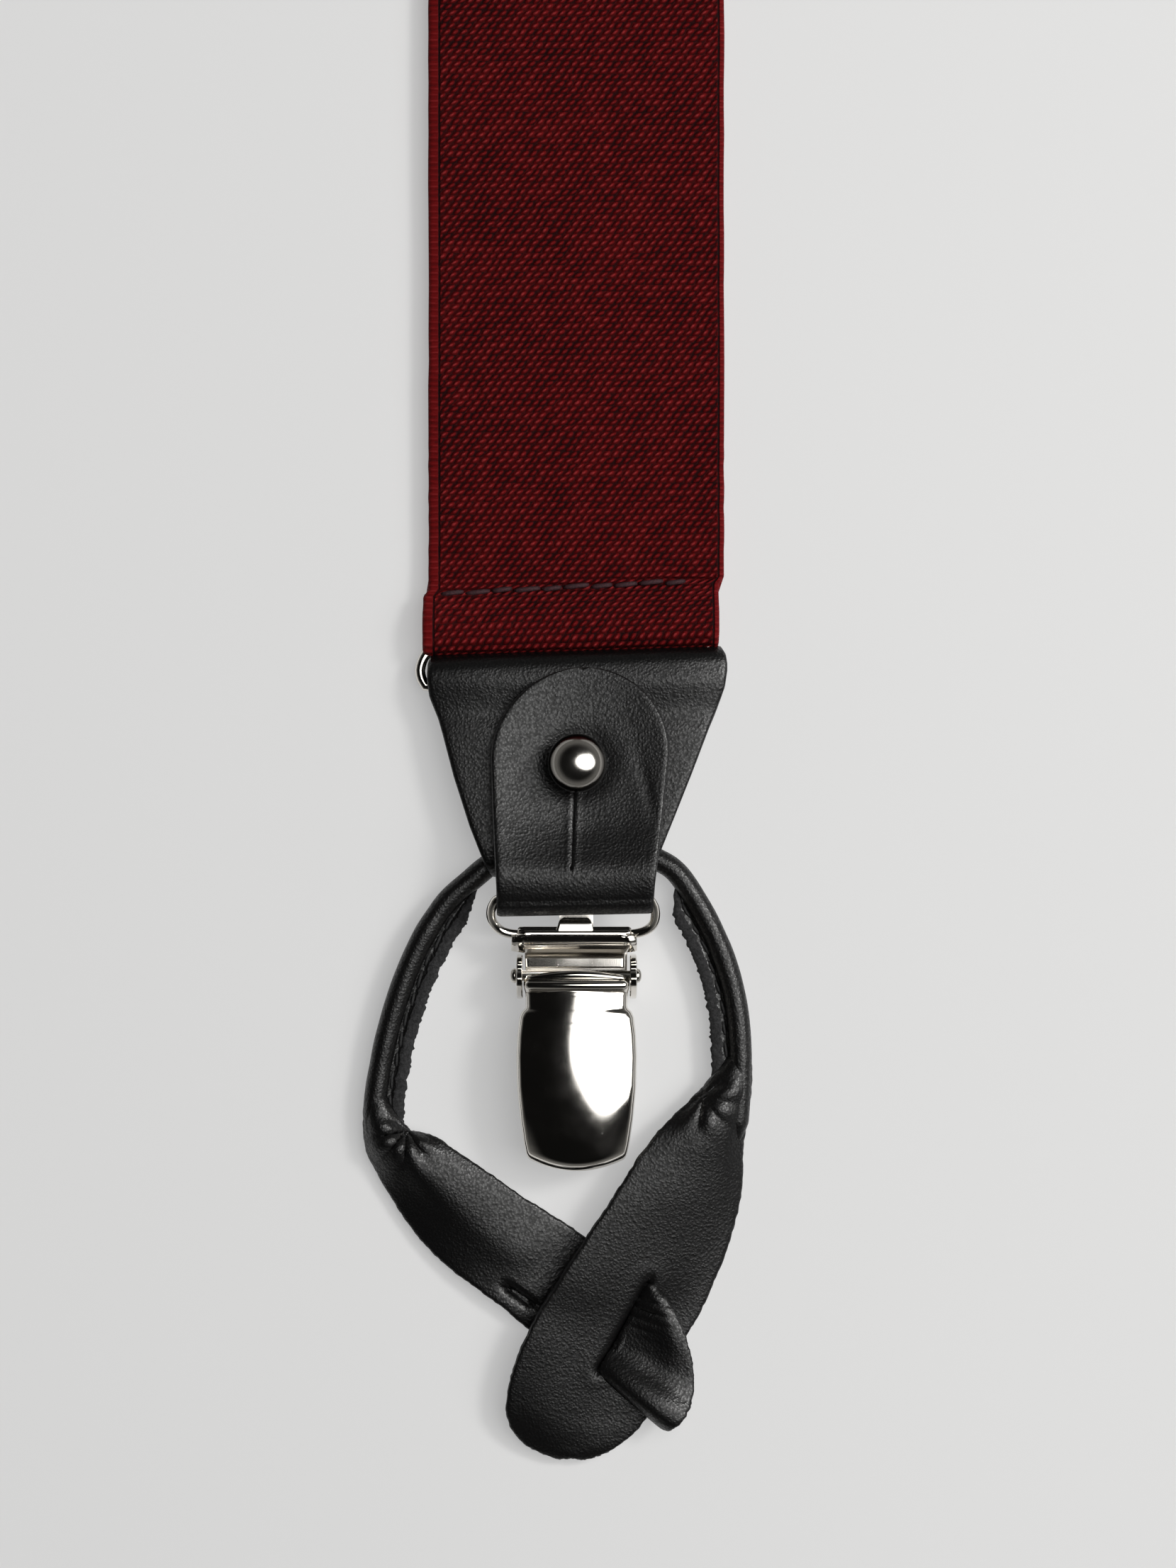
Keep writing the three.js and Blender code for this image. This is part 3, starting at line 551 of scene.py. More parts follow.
# the stud ball's lower rim is painted dark below 11.3 mm as painted shade
NICKEL_BALL = nickel_material("nickel_stud", 0.13, 0.3, (11.3, 12.6))
HEM_THREAD = thread_material("burgundy_thread", (0.045, 0.009, 0.014))
BLACK_THREAD = thread_material("black_thread", (0.02, 0.02, 0.021))
RUBBER = rubber_material()
HIDE = [LEATHER_SKIN, LEATHER_EDGE]
SLOTS = {
    "webbing": (WEBBING, HEM_THREAD),
    "leather": (LEATHER_SKIN, BLACK_THREAD),
    "nickel": (NICKEL, NICKEL_SOFT, NICKEL_BALL),
    "grip": (RUBBER,),
}
SLOT_OF = {material.name: slot for slot, materials in SLOTS.items() for material in materials}


# ---- webbing

def band_section(width, thick, count=40):
    """A flat band's cross-section as (side, height) points, from its left edge round to the left again."""
    half, r = width / 2, thick / 2
    top = np.linspace(-half + r, half - r, count)
    turn = np.radians(np.linspace(90, -90, 7))[1:-1]
    upper = [(x, r) for x in top]
    lower = [(x, -r) for x in top[::-1]]
    right_side = [(half - r + r * math.cos(v), r * math.sin(v)) for v in turn]
    left_side = [(-half + r - r * math.cos(v), -r * math.sin(v)) for v in turn]
    return np.array(upper + right_side + lower + left_side)


def hem_line(x):
    """The height y of the hem's leaning line of stitches."""
    return 8.1 + 0.05 * x


def strap_end(end):
    """The webbing of one end: from under the patch, round the ring, and back below to the end of its tail."""
    long = BACK_RUN if end == "back" else FRONT_RUN
    tail = BACK_TAIL if end == "back" else FRONT_TAIL
    top_z, low_z = STRAP_Z + WEB_THICK / 2, TAIL_Z + WEB_THICK / 2
    near = np.concatenate([np.arange(RING_BAR_Y, 26, 0.3), np.arange(26, long, 3.0), [long]])
    rise = part((9.2 - near) / 6.2)
    climb = FOLD_CLIMB * rise * rise * (3 - 2 * rise)
    path = [(0, y, top_z + c) for y, c in zip(near[::-1], climb[::-1])]
    fold_z = (top_z + FOLD_CLIMB + low_z) / 2
    turn = [(0, y, z) for y, z in arc(RING_BAR_Y, fold_z, fold_z - low_z, 90, 270, 17)][1:]
    back = [(0, y, low_z) for y in np.concatenate([np.arange(RING_BAR_Y + 1, tail, 2.0), [tail]])]
    path = np.array(path + turn + back)
    section = band_section(WEB_WIDTH, WEB_THICK)
    vertices, faces = band_sweep(path, section)
    shape = vertices.reshape(len(path), len(section), 3)
    run = lengths(path)
    along = run[len(near) - 1] + RING_BAR_Y - run
    side = np.repeat(section[None, :, 0], len(path), axis=0)
    uv = np.stack([side, np.repeat(along[:, None], len(section), axis=1)], axis=-1)
    x, y = shape[..., 0], shape[..., 1]
    upper = np.arange(len(path)) < len(near)
    on_top = upper[:, None] & (section[None, :, 1] > -0.2)
    # the hem leans, and sits a little to the left of the strap above its stitch line
    hem = part((8.6 + 0.045 * x - y) / 0.9)
    hem = hem * hem * (3 - 2 * hem)
    line = hem_line(x)
    groove = bell(y - line, 0.42) * (np.abs(x) < 16.6)
    puff = bell(y - line - 2.2, 1.3) + bell(y - line + 2.2, 1.3)
    shape[..., 2] += np.where(on_top, 0.16 * puff - 0.42 * groove, 0)
    sag = 0.06 * noise_at(x * 0.11 + 3, y * 0.06, 5) + 0.03 * noise_at(x * 0.4, y * 0.3, 7)
    shape[..., 2] += np.where(on_top & (y > 1.3), sag, 0)
    # the selvages wander slightly
    rim = part((np.abs(section[:, 0]) - 15.8) / 1.8)[None, :]
    shape[..., 0] += rim * 0.05 * noise_at(y * 0.8, 0 * y + np.sign(x), 9) - 0.62 * hem
    shape[..., 1] += 0.03 * x * part((7.5 - y) / 4)
    shape = (shape.reshape(-1, 3), faces)
    piece(end, "webbing", shape, "root", WEBBING, "strap", uv=uv.reshape(-1, 2))


def band_sweep(path, section):
    """A band along a path in the plane x = 0, whose height follows the path's own normal."""
    run = unit(np.gradient(path, axis=0))
    side = np.array([1.0, 0, 0])
    rise = np.cross(side, -run)
    vertices = path[:, None] + section[None, :, :1] * side + section[None, :, 1:] * rise[:, None]
    rows, columns = vertices.shape[:2]
    faces = list(grid_faces(rows, columns, wrap_columns=True))
    faces.append(list(range(columns))[::-1])
    faces.append(list(range((rows - 1) * columns, rows * columns)))
    return vertices.reshape(-1, 3), faces


def stitches(points, length, gap, radius, dip=0.28, seed=0):
    """Separate thread stitches along a line of points, each one arching over the surface."""
    points = np.asarray(points, float)
    run = lengths(points)
    made, at, k = [], 0.15, seed
    while at + length < run[-1]:
        long = length * (1 + 0.16 * math.sin(k * 2.7))
        t = np.linspace(at, min(at + long, run[-1]), 9)
        p = np.stack([np.interp(t, run, points[:, i]) for i in range(3)], axis=1)
        p[:, 2] += radius * 0.6 - dip * np.abs(np.linspace(-1, 1, 9)) ** 3
        heading = p[-1] - p[0]
        aside = np.array([-heading[1], heading[0], 0]) / max(np.linalg.norm(heading), 1e-6)
        p += aside * 0.09 * math.sin(k * 4.1) + aside * np.linspace(-1, 1, 9)[:, None] * 0.1
        made.append(sweep(p, circle(radius, 8, 0.8), scale=[0.7, 0.9, 1, 1, 1, 1, 1, 0.9, 0.7]))
        at += long + gap
        k += 1
    return joined(made)


for end in ENDS:
    strap_end(end)
    seam = [(x, hem_line(x), STRAP_Z + WEB_THICK + SEAM_LIFT) for x in np.linspace(-16.2, 15.2, 60)]
    piece(end, "hem_stitches", stitches(seam, 2.6, 0.35, 0.3, 0.34), "root", HEM_THREAD)


# ---- ring and yoke

def ring_path():
    """The webbing ring: a flat oblong loop of wire round both folds, a little to the left."""
    outline = [(-17.9, 0.1), (-18.35, -0.75), (-18.6, -2.0), (-18.15, -3.3), (-17.0, -3.75),
               (-8, -3.7), (0, -3.62), (8, -3.7), (14.6, -3.6), (15.6, -3.1), (16.1, -1.6), (15.9, -0.0),
               (15.3, 1.7), (14.2, 2.4), (8, 2.4), (0, 2.35), (-8, 2.4), (-15.6, 2.3), (-17.1, 1.5)]
    return even([(x, y, RING_Z) for x, y in outline], 150, closed=True)


def yoke_outline(y):
    """Left and right edges of the yoke at height y."""
    rows = np.array([
        (-27.6, -8.9, 8.2), (-24.6, -10.8, 9.6), (-20.0, -12.6, 11.5), (-14.0, -14.5, 13.9),
        (-9.0, -15.8, 15.8), (-7.1, -16.35, 16.6), (-4.4, -17.4, 17.6), (-2.1, -17.7, 17.95),
        (-0.7, -17.6, 17.75), (0.8, -17.2, 16.9),
    ])
    return np.interp(y, rows[:, 0], rows[:, 1]), np.interp(y, rows[:, 0], rows[:, 2])


def yoke_piece(end):
    """The strip folded over the ring bar, with the tunnel for the rolled loop at its other end."""
    low_z, top_z = 0.62, 4.1
    fold_z, tunnel = (low_z + top_z) / 2, ROLL_Z - low_z
    start = [(y, low_z) for y in np.arange(-13.0, -2.6, 0.8)]
    fold = arc(-1.7, fold_z, fold_z - low_z, -90, 90, 21)
    flat = np.arange(-2.5, -22.3, -0.35)
    slope = [(y, top_z + 0.65 * part((-2.5 - y) / 20) ** 1.5) for y in flat]
    end_turn = arc(ROLL_Y, ROLL_Z, tunnel, 105, 270, 19)
    back = [(y, low_z) for y in np.arange(-23.0, -13.2, 1.2)]
    centre = np.array(start + fold + slope + end_turn + back)
    columns = edged(40, 30.0, 0.8)
    grid = np.zeros((len(centre), len(columns), 3))
    for i, (y, z) in enumerate(centre):
        left, right = yoke_outline(y)
        x = left + (right - left) * columns
        grid[i, :, 0] = x
        grid[i, :, 1] = y + 0.033 * x * (1 if z > 1.2 else 0.3)
        grid[i, :, 2] = z
    x, y = grid[..., 0], grid[..., 1]
    row = np.arange(len(centre))
    high = ((row > len(start) + 10) & (row < len(centre) - len(back) - 6))[:, None]
    wave = 0.07 * noise_at(x * 0.1, y * 0.11, 11) + 0.015 * noise_at(x * 0.35, y * 0.3, 13)
    droop = -0.45 * part((np.abs(x) - 11) / 7) ** 2
    grid[..., 2] += np.where(high, wave + droop, 0)
    # the upper layer swells over the ring wire and sinks just below it
    swell = 0.3 * bell(y + 3.0, 1.6) - 0.22 * bell(y + 7.0, 1.6)
    grid[..., 2] += np.where(high, swell, 0)
    shape = sheet(grid, 1.05, rim=0.6)
    piece(end, "yoke_leather", shape, "band", HIDE, "yoke")


for end in ENDS:
    wire = sweep(ring_path(), circle(0.62, 14), closed=True)
    piece(end, "ring_wire", wire, "ring", NICKEL, "webbing_ring")
    yoke_piece(end)


# ---- tab and stud

def tab_piece(end):
    """The rounded strip that buttons over the stud and holds the D-ring in its fold."""
    low_fold = TAB_Z + 0.5
    levels = [(-26.2, 9.2), (-25.0, 9.0), (-23.0, 8.3), (-20.5, 7.5), (-17.5, 6.95), (-14, 6.55), (-10, 6.3),
              (-6, 6.15), (-3, 6.1), (-1.4, 6.05)]
    line = spline(levels, np.linspace(0, len(levels) - 1, 120))
    rounded = [-12.1 + 10.5 * math.sin(math.radians(v)) for v in np.linspace(87, 0, 30)]
    rows = [(y, np.interp(y, line[:, 0], line[:, 1])) for y in rounded]
    flat = [(y, np.interp(y, line[:, 0], line[:, 1])) for y in np.arange(-12.5, -25.9, -0.4)]
    # a loose fold: the front rolls over early, and the back returns under the wire
    fold = [(-26.1 - 4.2 * math.sin(v), 7.1 + (2.1 if v < math.pi / 2 else low_fold - 7.1) * abs(math.cos(v)))
            for v in np.radians(np.linspace(2, 176, 30))]
    under = [(y, low_fold) for y in np.arange(-25.4, -19.0, 1.0)]
    centre = np.array(rows + flat + fold + under)
    count = len(rows)
    slit_at, round_y, radius = 0.47, -12.1, 10.5
    fine = np.array([-0.03, -0.015, -0.009, -0.004, 0, 0.004, 0.009, 0.015, 0.03]) + slit_at
    base = edged(40, 20.0, 0.7)
    columns = np.sort(np.concatenate([base[np.abs(base - slit_at) > 0.035], fine]))
    grid = np.zeros((len(centre), len(columns), 3))
    for i, (y, z) in enumerate(centre):
        if i < count:
            half = math.sqrt(max(radius**2 - (y - round_y) ** 2, 0.02))
        else:
            half = np.interp(y, [-31, -27.4, -18, -12.1], [9.15, 9.3, 10.1, 10.5])
        middle = 0.033 * (y + 27.4) - 0.05
        grid[i, :, 0] = middle + half * (2 * columns - 1)
        grid[i, :, 1] = y + 0.02 * grid[i, :, 0]
        grid[i, :, 2] = z
    x, y = grid[..., 0], grid[..., 1]
    front = (np.arange(len(centre)) < len(rows) + len(flat) + 8)[:, None]
    wave = 0.05 * noise_at(x * 0.12 + 2, y * 0.14, 21) + 0.015 * noise_at(x * 0.5, y * 0.4, 22)
    cupped = part((y + 29) / 8)
    wave = wave + 0.008 * (x - 1.8) ** 2 * cupped - 0.2
    # the hole grips the stud's neck, and the strip dips round it
    ball = np.hypot(x - 0.2, y - STUD_Y)
    wave = wave - 0.35 * bell(ball - 3.0, 1.5)
    crease = 0.12 * bell((x - 7.4) + 0.25 * (y + 12), 0.6) * bell(y + 16, 4.5)
    grid[..., 2] += np.where(front, wave - crease, 0)
    slit = bell(columns - slit_at, 0.0065)[None, :] * ((y < -16.2) & (y > -25.3))
    grid[..., 2] -= np.where(front, 0.75 * slit, 0)
    swell = bell(columns - slit_at, 0.03)[None, :] * ((y < -16) & (y > -25.4))
    grid[..., 2] += np.where(front, 0.12 * swell, 0)
    shape = sheet(grid, 1.0, rim=0.55)
    piece(end, "tab_leather", shape, "tab", HIDE, "clip_tab")


def stud_pieces(end):
    """The ball on top and the foot with its shank below."""
    middle = (0.15, STUD_Y, 0)
    ball = [(0, 8.2), (1.9, 8.2), (2.7, 8.42), (3.2, 8.95), (3.42, 9.7), (3.45, 10.2)]
    ball += [(3.45 * math.cos(v), 10.2 + 2.75 * math.sin(v)) for v in np.radians(np.linspace(6, 86, 22))]
    ball += [(0, 12.95)]
    piece(end, "stud_ball", lathe(ball, 64), "band", NICKEL_BALL, "stud_head", middle)
    neck = [(0, 0.12), (3.1, 0.12), (3.4, 0.3), (3.4, 0.7), (3.1, 0.9), (1.6, 0.95), (1.5, 1.2), (1.5, 8.1),
            (0, 8.1)]
    piece(end, "stud_neck", lathe(neck, 48), "band", NICKEL_SOFT, "stud_base", middle)


# ---- rolled loop

ROLL_PATH = [
    (-23.1, -60.6, 1.9), (-23.9, -56.6, 1.95), (-23.8, -52, 2.1), (-22.2, -44, 2.4), (-19.4, -36, ROLL_Z),
    (-15.9, -30, ROLL_Z), (-12.2, -26.5, ROLL_Z), (-9.4, -24.3, ROLL_Z), (-7.6, ROLL_Y, ROLL_Z),
    (-4, ROLL_Y, ROLL_Z), (4, ROLL_Y, ROLL_Z), (7.6, ROLL_Y, ROLL_Z), (9.4, -24.2, ROLL_Z),
    (12.4, -26.4, ROLL_Z), (16.3, -33, ROLL_Z), (18.7, -40, 2.6), (19.5, -47, 2.6), (19.3, -54, 2.5),
    (18.8, -58.4, 2.2),
]


def surface(rows, count, columns):
    """A smooth grid through rows of (left x, y, right x, y, [z at even steps from left to right])."""
    control = []
    for lx, ly, rx, ry, heights in rows:
        t = np.linspace(0, 1, len(heights))
        control.append([(lx + (rx - lx) * a, ly + (ry - ly) * a, z) for a, z in zip(t, heights)])
    control = np.array(control, float)
    along = spline(control, np.linspace(0, len(rows) - 1, count))
    across = spline(np.swapaxes(along, 0, 1), np.asarray(columns) * (control.shape[1] - 1))
    return np.swapaxes(across, 0, 1)


def bent_left_tab():
    """The tab that crosses below, with its buttonhole as a pit."""
    rows = [
        (-23.3, -50.4, -24.3, -50.4, [1.6, 1.9, 1.9, 1.8, 1.5]),
        (-22.7, -52.9, -24.9, -52.7, [1.8, 2.6, 2.75, 2.5, 1.6]),
        (-21.3, -55.2, -25.1, -55.6, [1.8, 2.9, 3.3, 2.9, 1.5]),
        (-19.6, -56.9, -24.9, -58.6, [1.7, 2.6, 3.5, 3.0, 1.2]),
        (-17.0, -57.3, -23.8, -61.3, [2.1, 3.0, 3.5, 2.7, 0.9]),
        (-14.1, -59.2, -21.8, -64.9, [2.3, 3.0, 3.2, 2.1, 0.9]),
        (-10.5, -61.6, -19.3, -68.7, [2.1, 2.7, 2.8, 1.9, 0.9]),
        (-6.4, -64.5, -16.0, -72.3, [1.7, 2.2, 2.4, 1.9, 1.2]),
        (-2.2, -67.2, -12.4, -75.1, [1.2, 1.7, 2.0, 1.8, 1.6]),
        (0.8, -69.3, -8.8, -77.7, [0.9, 1.1, 1.3, 1.5, 1.6]),
        (4.0, -72.0, -5.2, -80.8, [0.8, 0.8, 0.9, 0.9, 0.9]),
        (6.5, -75.0, 0.5, -83.6, [0.8, 0.8, 0.8, 0.8, 0.8]),
    ]
    grid = surface(rows, 110, edged(56, 11.0, 0.6))
    x, y = grid[..., 0], grid[..., 1]
    turn = math.radians(-36)
    u = (x + 6.9) * math.cos(turn) + (y + 76.3) * math.sin(turn)
    v = -(x + 6.9) * math.sin(turn) + (y + 76.3) * math.cos(turn)
    pit = np.exp(-((u / 2.0) ** 4 + (v / 0.75) ** 4)) * (1 + 0.3 * noise_at(x * 3, y * 3, 31))
    grid[..., 2] -= 1.25 * pit
    # pleats gather where the roll ends
    reach = np.hypot(x + 20.2, y + 56.8)
    angle = np.arctan2(y + 56.8, x + 20.2)
    grid[..., 2] += 0.2 * np.sin(9 * angle + 0.6) * bell(reach - 2.2, 1.9)
    return grid


def bent_right_tab():
    """The tab that crosses on top, with the slot that the other tab's tip comes through."""
    rows = [
        (19.0, -46.4, 20.0, -46.4, [2.0, 2.2, 2.3, 2.2, 2.0]),
        (17.7, -48.7, 20.6, -48.8, [2.3, 3.0, 3.2, 3.0, 2.1]),
        (15.4, -51.3, 20.6, -52.0, [2.4, 3.4, 3.9, 3.5, 2.2]),
        (12.6, -53.9, 20.1, -55.6, [3.0, 3.9, 4.4, 3.7, 2.0]),
        (10.0, -56.3, 19.7, -59.0, [3.9, 4.4, 4.5, 3.6, 1.6]),
        (7.5, -59.3, 19.7, -62.3, [4.4, 4.5, 4.2, 3.2, 1.3]),
        (5.4, -62.6, 19.2, -66.2, [4.7, 4.5, 3.9, 2.8, 1.1]),
        (3.2, -66.0, 18.0, -70.5, [4.9, 4.4, 3.6, 2.5, 1.1]),
        (0.8, -69.6, 16.2, -75.2, [4.9, 4.3, 3.4, 2.2, 1.1]),
        (-1.8, -73.7, 14.2, -79.4, [4.8, 4.1, 3.1, 1.8, 1.2]),
        (-4.2, -77.5, 12.4, -82.4, [4.4, 3.8, 2.9, 1.7, 1.3]),
        (-6.2, -81.4, 11.3, -86.0, [4.2, 3.6, 2.7, 1.8, 1.4]),
        (-7.8, -85.8, 10.0, -88.6, [3.7, 3.3, 2.6, 1.9, 1.5]),
        (-8.35, -89.6, 8.4, -90.9, [3.0, 2.9, 2.4, 1.9, 1.5]),
        (-7.7, -92.0, 7.0, -92.6, [2.2, 2.4, 2.2, 1.9, 1.5]),
        (-6.1, -93.9, 4.9, -94.2, [1.6, 1.9, 1.9, 1.8, 1.5]),
        (-3.9, -95.0, 2.8, -95.2, [1.4, 1.6, 1.7, 1.6, 1.4]),
        (-1.8, -95.55, 0.6, -95.65, [1.3, 1.4, 1.4, 1.4, 1.3]),
    ]
    grid = surface(rows, 150, edged(70, 15.0, 0.6))
    x, y = grid[..., 0], grid[..., 1]
    slot = slot_distance(x, y, (8.4, -74.6), (2.7, -84.9))
    grid[..., 2] -= 1.3 * np.exp(-((slot / 0.55) ** 4))
    grid[..., 2] += 0.08 * bell(slot - 1.5, 0.9)
    reach = np.hypot(x - 15.2, y + 52.6)
    angle = np.arctan2(y + 52.6, x - 15.2)
    grid[..., 2] += 0.16 * np.sin(8 * angle) * bell(reach - 2.4, 1.8)
    return grid


def slot_distance(x, y, a, b):
    """The distance of points x, y from the line between a and b."""
    dx, dy = b[0] - a[0], b[1] - a[1]
    t = part(((x - a[0]) * dx + (y - a[1]) * dy) / (dx * dx + dy * dy))
    return np.hypot(x - a[0] - t * dx, y - a[1] - t * dy)


def tip_through_slot():
    """The end of the lower tab, up through the slot and folded back."""
    rows = [
        (8.2, -74.6, 9.0, -74.9, [2.4, 2.6, 2.8, 2.8, 2.6]),
        (7.6, -76.0, 10.8, -76.8, [2.3, 2.8, 3.2, 3.3, 3.0]),
        (6.8, -77.6, 12.2, -79.0, [2.2, 2.8, 3.3, 3.6, 3.3]),
        (6.0, -79.2, 13.2, -81.6, [2.2, 2.7, 3.2, 3.6, 3.4]),
        (5.2, -80.7, 13.8, -84.2, [2.2, 2.6, 3.0, 3.4, 3.4]),
        (4.5, -81.9, 14.0, -86.6, [2.1, 2.6, 3.0, 3.4, 3.4]),
        (3.9, -82.9, 13.7, -88.6, [2.2, 3.0, 3.5, 3.9, 3.8]),
        (3.3, -83.8, 12.9, -90.3, [2.5, 3.6, 4.4, 4.8, 4.6]),
        (2.9, -84.6, 11.9, -91.4, [2.5, 3.7, 4.5, 4.9, 4.7]),
        (2.8, -85.1, 11.0, -91.8, [2.3, 3.1, 3.8, 4.1, 4.0]),
        (3.1, -85.0, 10.3, -91.4, [1.9, 2.5, 3.0, 3.2, 3.1]),
        (4.0, -84.4, 10.4, -90.6, [1.7, 2.1, 2.4, 2.6, 2.5]),
    ]
    grid = surface(rows, 110, edged(50, 10.0, 0.6))
    x, y = grid[..., 0], grid[..., 1]
    folds = np.sin(5.2 * (y + 79) + 1.4 * x) * np.exp(-(((x - 8.8) / 2.4) ** 2 + ((y + 78.0) / 2.0) ** 2))
    grid[..., 2] += 0.1 * folds
    return grid


def frayed(grid, amount, seed):
    """Moves the border of a sheet in and out a little, as a knife leaves it."""
    near = np.exp(-border_distance(grid) / 0.5)
    x, y = grid[..., 0] * 1.9, grid[..., 1] * 1.9
    grid = grid.copy()
    for axis, k in ((0, seed), (1, seed + 2)):
        grid[..., axis] += near * amount * (noise_at(x, y, k) + 0.6 * noise_at(2.3 * x, 2.3 * y, k + 1))
    return grid


def roll_pieces(end):
    """The rolled strip, with the raw flange and the seam inside each of its two sides."""
    path = even(ROLL_PATH, 340)
    count = len(path)
    y = path[:, 1]
    thin = np.clip((y + np.where(path[:, 0] < 0, 61.5, 60.5)) / 5, 0.35, 1)
    swell = 1 + 0.025 * noise_at(np.arange(count) * 0.12, np.zeros(count), 41)
    roll = sweep(path, circle(1.36, 30), scale=thin * swell)
    piece(end, "loop_roll", roll, "loop", LEATHER_SKIN, "button_loop")
    for side, tag, stop in ((-1, "left", -57.2), (1, "right", -53.2)):
        keep = (path[:, 0] * side > 9.0) & (y > stop) & (y < -26.5)
        run = path[keep]
        n = len(run)
        at = np.linspace(0, 1, n)
        rise = at if side < 0 else 1 - at
        width = part((1 - rise) / 0.13) ** 0.7
        profile = [(0.7, 0.55), (1.15, 0.42), (1.55, 0.0), (1.8, -0.05), (2.1, 0.22), (2.6, 0.3), (3.1, 0.22),
                   (3.4, 0.0), (3.45, -0.5), (3.3, -0.95), (2.6, -1.05), (0.7, -1.05)]
        section = np.repeat(np.array(profile, float)[None], n, axis=0)
        fuzz = 0.16 * noise_at(np.arange(n) * 0.9, np.zeros(n), 43 + side)
        fuzz += 0.09 * noise_at(np.arange(n) * 2.3, np.zeros(n), 47 + side)
        section[:, 4:11, 0] += fuzz[:, None]
        section[:, :, 0] = 0.7 + (section[:, :, 0] - 0.7) * width[:, None]
        section[:, :, 1] += 0.05 * noise_at(np.arange(n)[:, None] * 0.5, np.arange(12)[None, :] * 1.7, 51)
        flange = sweep(run, section)
        kinds = [1 if 4 <= k % 12 <= 9 else 0 for k in range(len(flange[1]) - 2)] + [1, 1]
        shape = (flange[0], flange[1], kinds)
        piece(end, tag + "_flange", shape, "loop", [LEATHER_SKIN, LEATHER_FLESH])
        heading = unit(np.gradient(run, axis=0))
        inward = np.stack([heading[:, 1], -heading[:, 0], np.zeros(n)], axis=1)
        seam = run + inward * (0.7 + 1.0 * width)[:, None]
        seam[:, 2] += 0.05
        seam = seam[(1 - rise) > 0.08]
        thread = stitches(seam, 1.75, 0.75, 0.17, 0.22, 3)
        piece(end, tag + "_seam", thread, "loop", BLACK_THREAD)


def loop_pieces(end):
    """The rolled strip and the three sheets of its crossed tabs."""
    roll_pieces(end)
    for name, grid, seed in (
        ("left_tab", bent_left_tab(), 61),
        ("right_tab", bent_right_tab(), 71),
        ("crossed_tip", tip_through_slot(), 81),
    ):
        grid[..., 2] += 0.05 * noise_at(grid[..., 0] * 0.14, grid[..., 1] * 0.14, seed)
        grid[..., 2] = np.maximum(grid[..., 2], 0.62)
        piece(end, name, sheet(frayed(grid, 0.09, seed), 1.1, rim=0.5, edge=0.55), "loop", HIDE)


# ---- D-ring and clip

def d_ring_piece(end):
    """The D-shaped wire, tilted so that its straight side lies in the tab's fold."""
    tilt = math.radians(DRING_TILT)
    outline = [
        (0, 0), (5.5, 0.05), (8.2, 0.0), (9.1, -1.0), (9.35, -2.5), (9.0, -3.9), (8.0, -4.8), (6.3, -5.2),
        (3, -5.2), (0, -5.2), (-3, -5.2), (-6.6, -5.25), (-8.5, -4.9), (-9.6, -3.9), (-10.05, -2.5),
        (-9.8, -1.0), (-8.8, 0.0), (-5.5, 0.05),
    ]
    points = [(x, DRING_Y + v * math.cos(tilt), DRING_Z + v * math.sin(tilt)) for x, v in outline]
    path = even(points, 150, closed=True)
    wire = sweep(path, circle(0.57, 16), closed=True, up=(0, -math.sin(tilt), math.cos(tilt)))
    piece(end, "d_ring_wire", wire, "bail", NICKEL, "d_ring")


CLIP_Y, CLIP_Z = -33.11, 4.79


def plate_grid(outline_rows, count_y, count_x, height, rim):
    """A metal plate from rows of (y, left, right), with height(x, y, u) giving its middle surface."""
    rows = np.array(outline_rows, float)
    y = np.linspace(rows[0, 0], rows[-1, 0], count_y)
    left, right = np.interp(-y, -rows[:, 0], rows[:, 1]), np.interp(-y, -rows[:, 0], rows[:, 2])
    u = edged(count_x, float(np.mean(right - left)), rim)
    x = left[:, None] + (right - left)[:, None] * u[None, :]
    grid = np.stack([x, np.repeat(y[:, None], len(u), axis=1), np.zeros_like(x)], axis=-1)
    grid[..., 2] = height(x, grid[..., 1], 2 * u[None, :] - 1)
    return grid


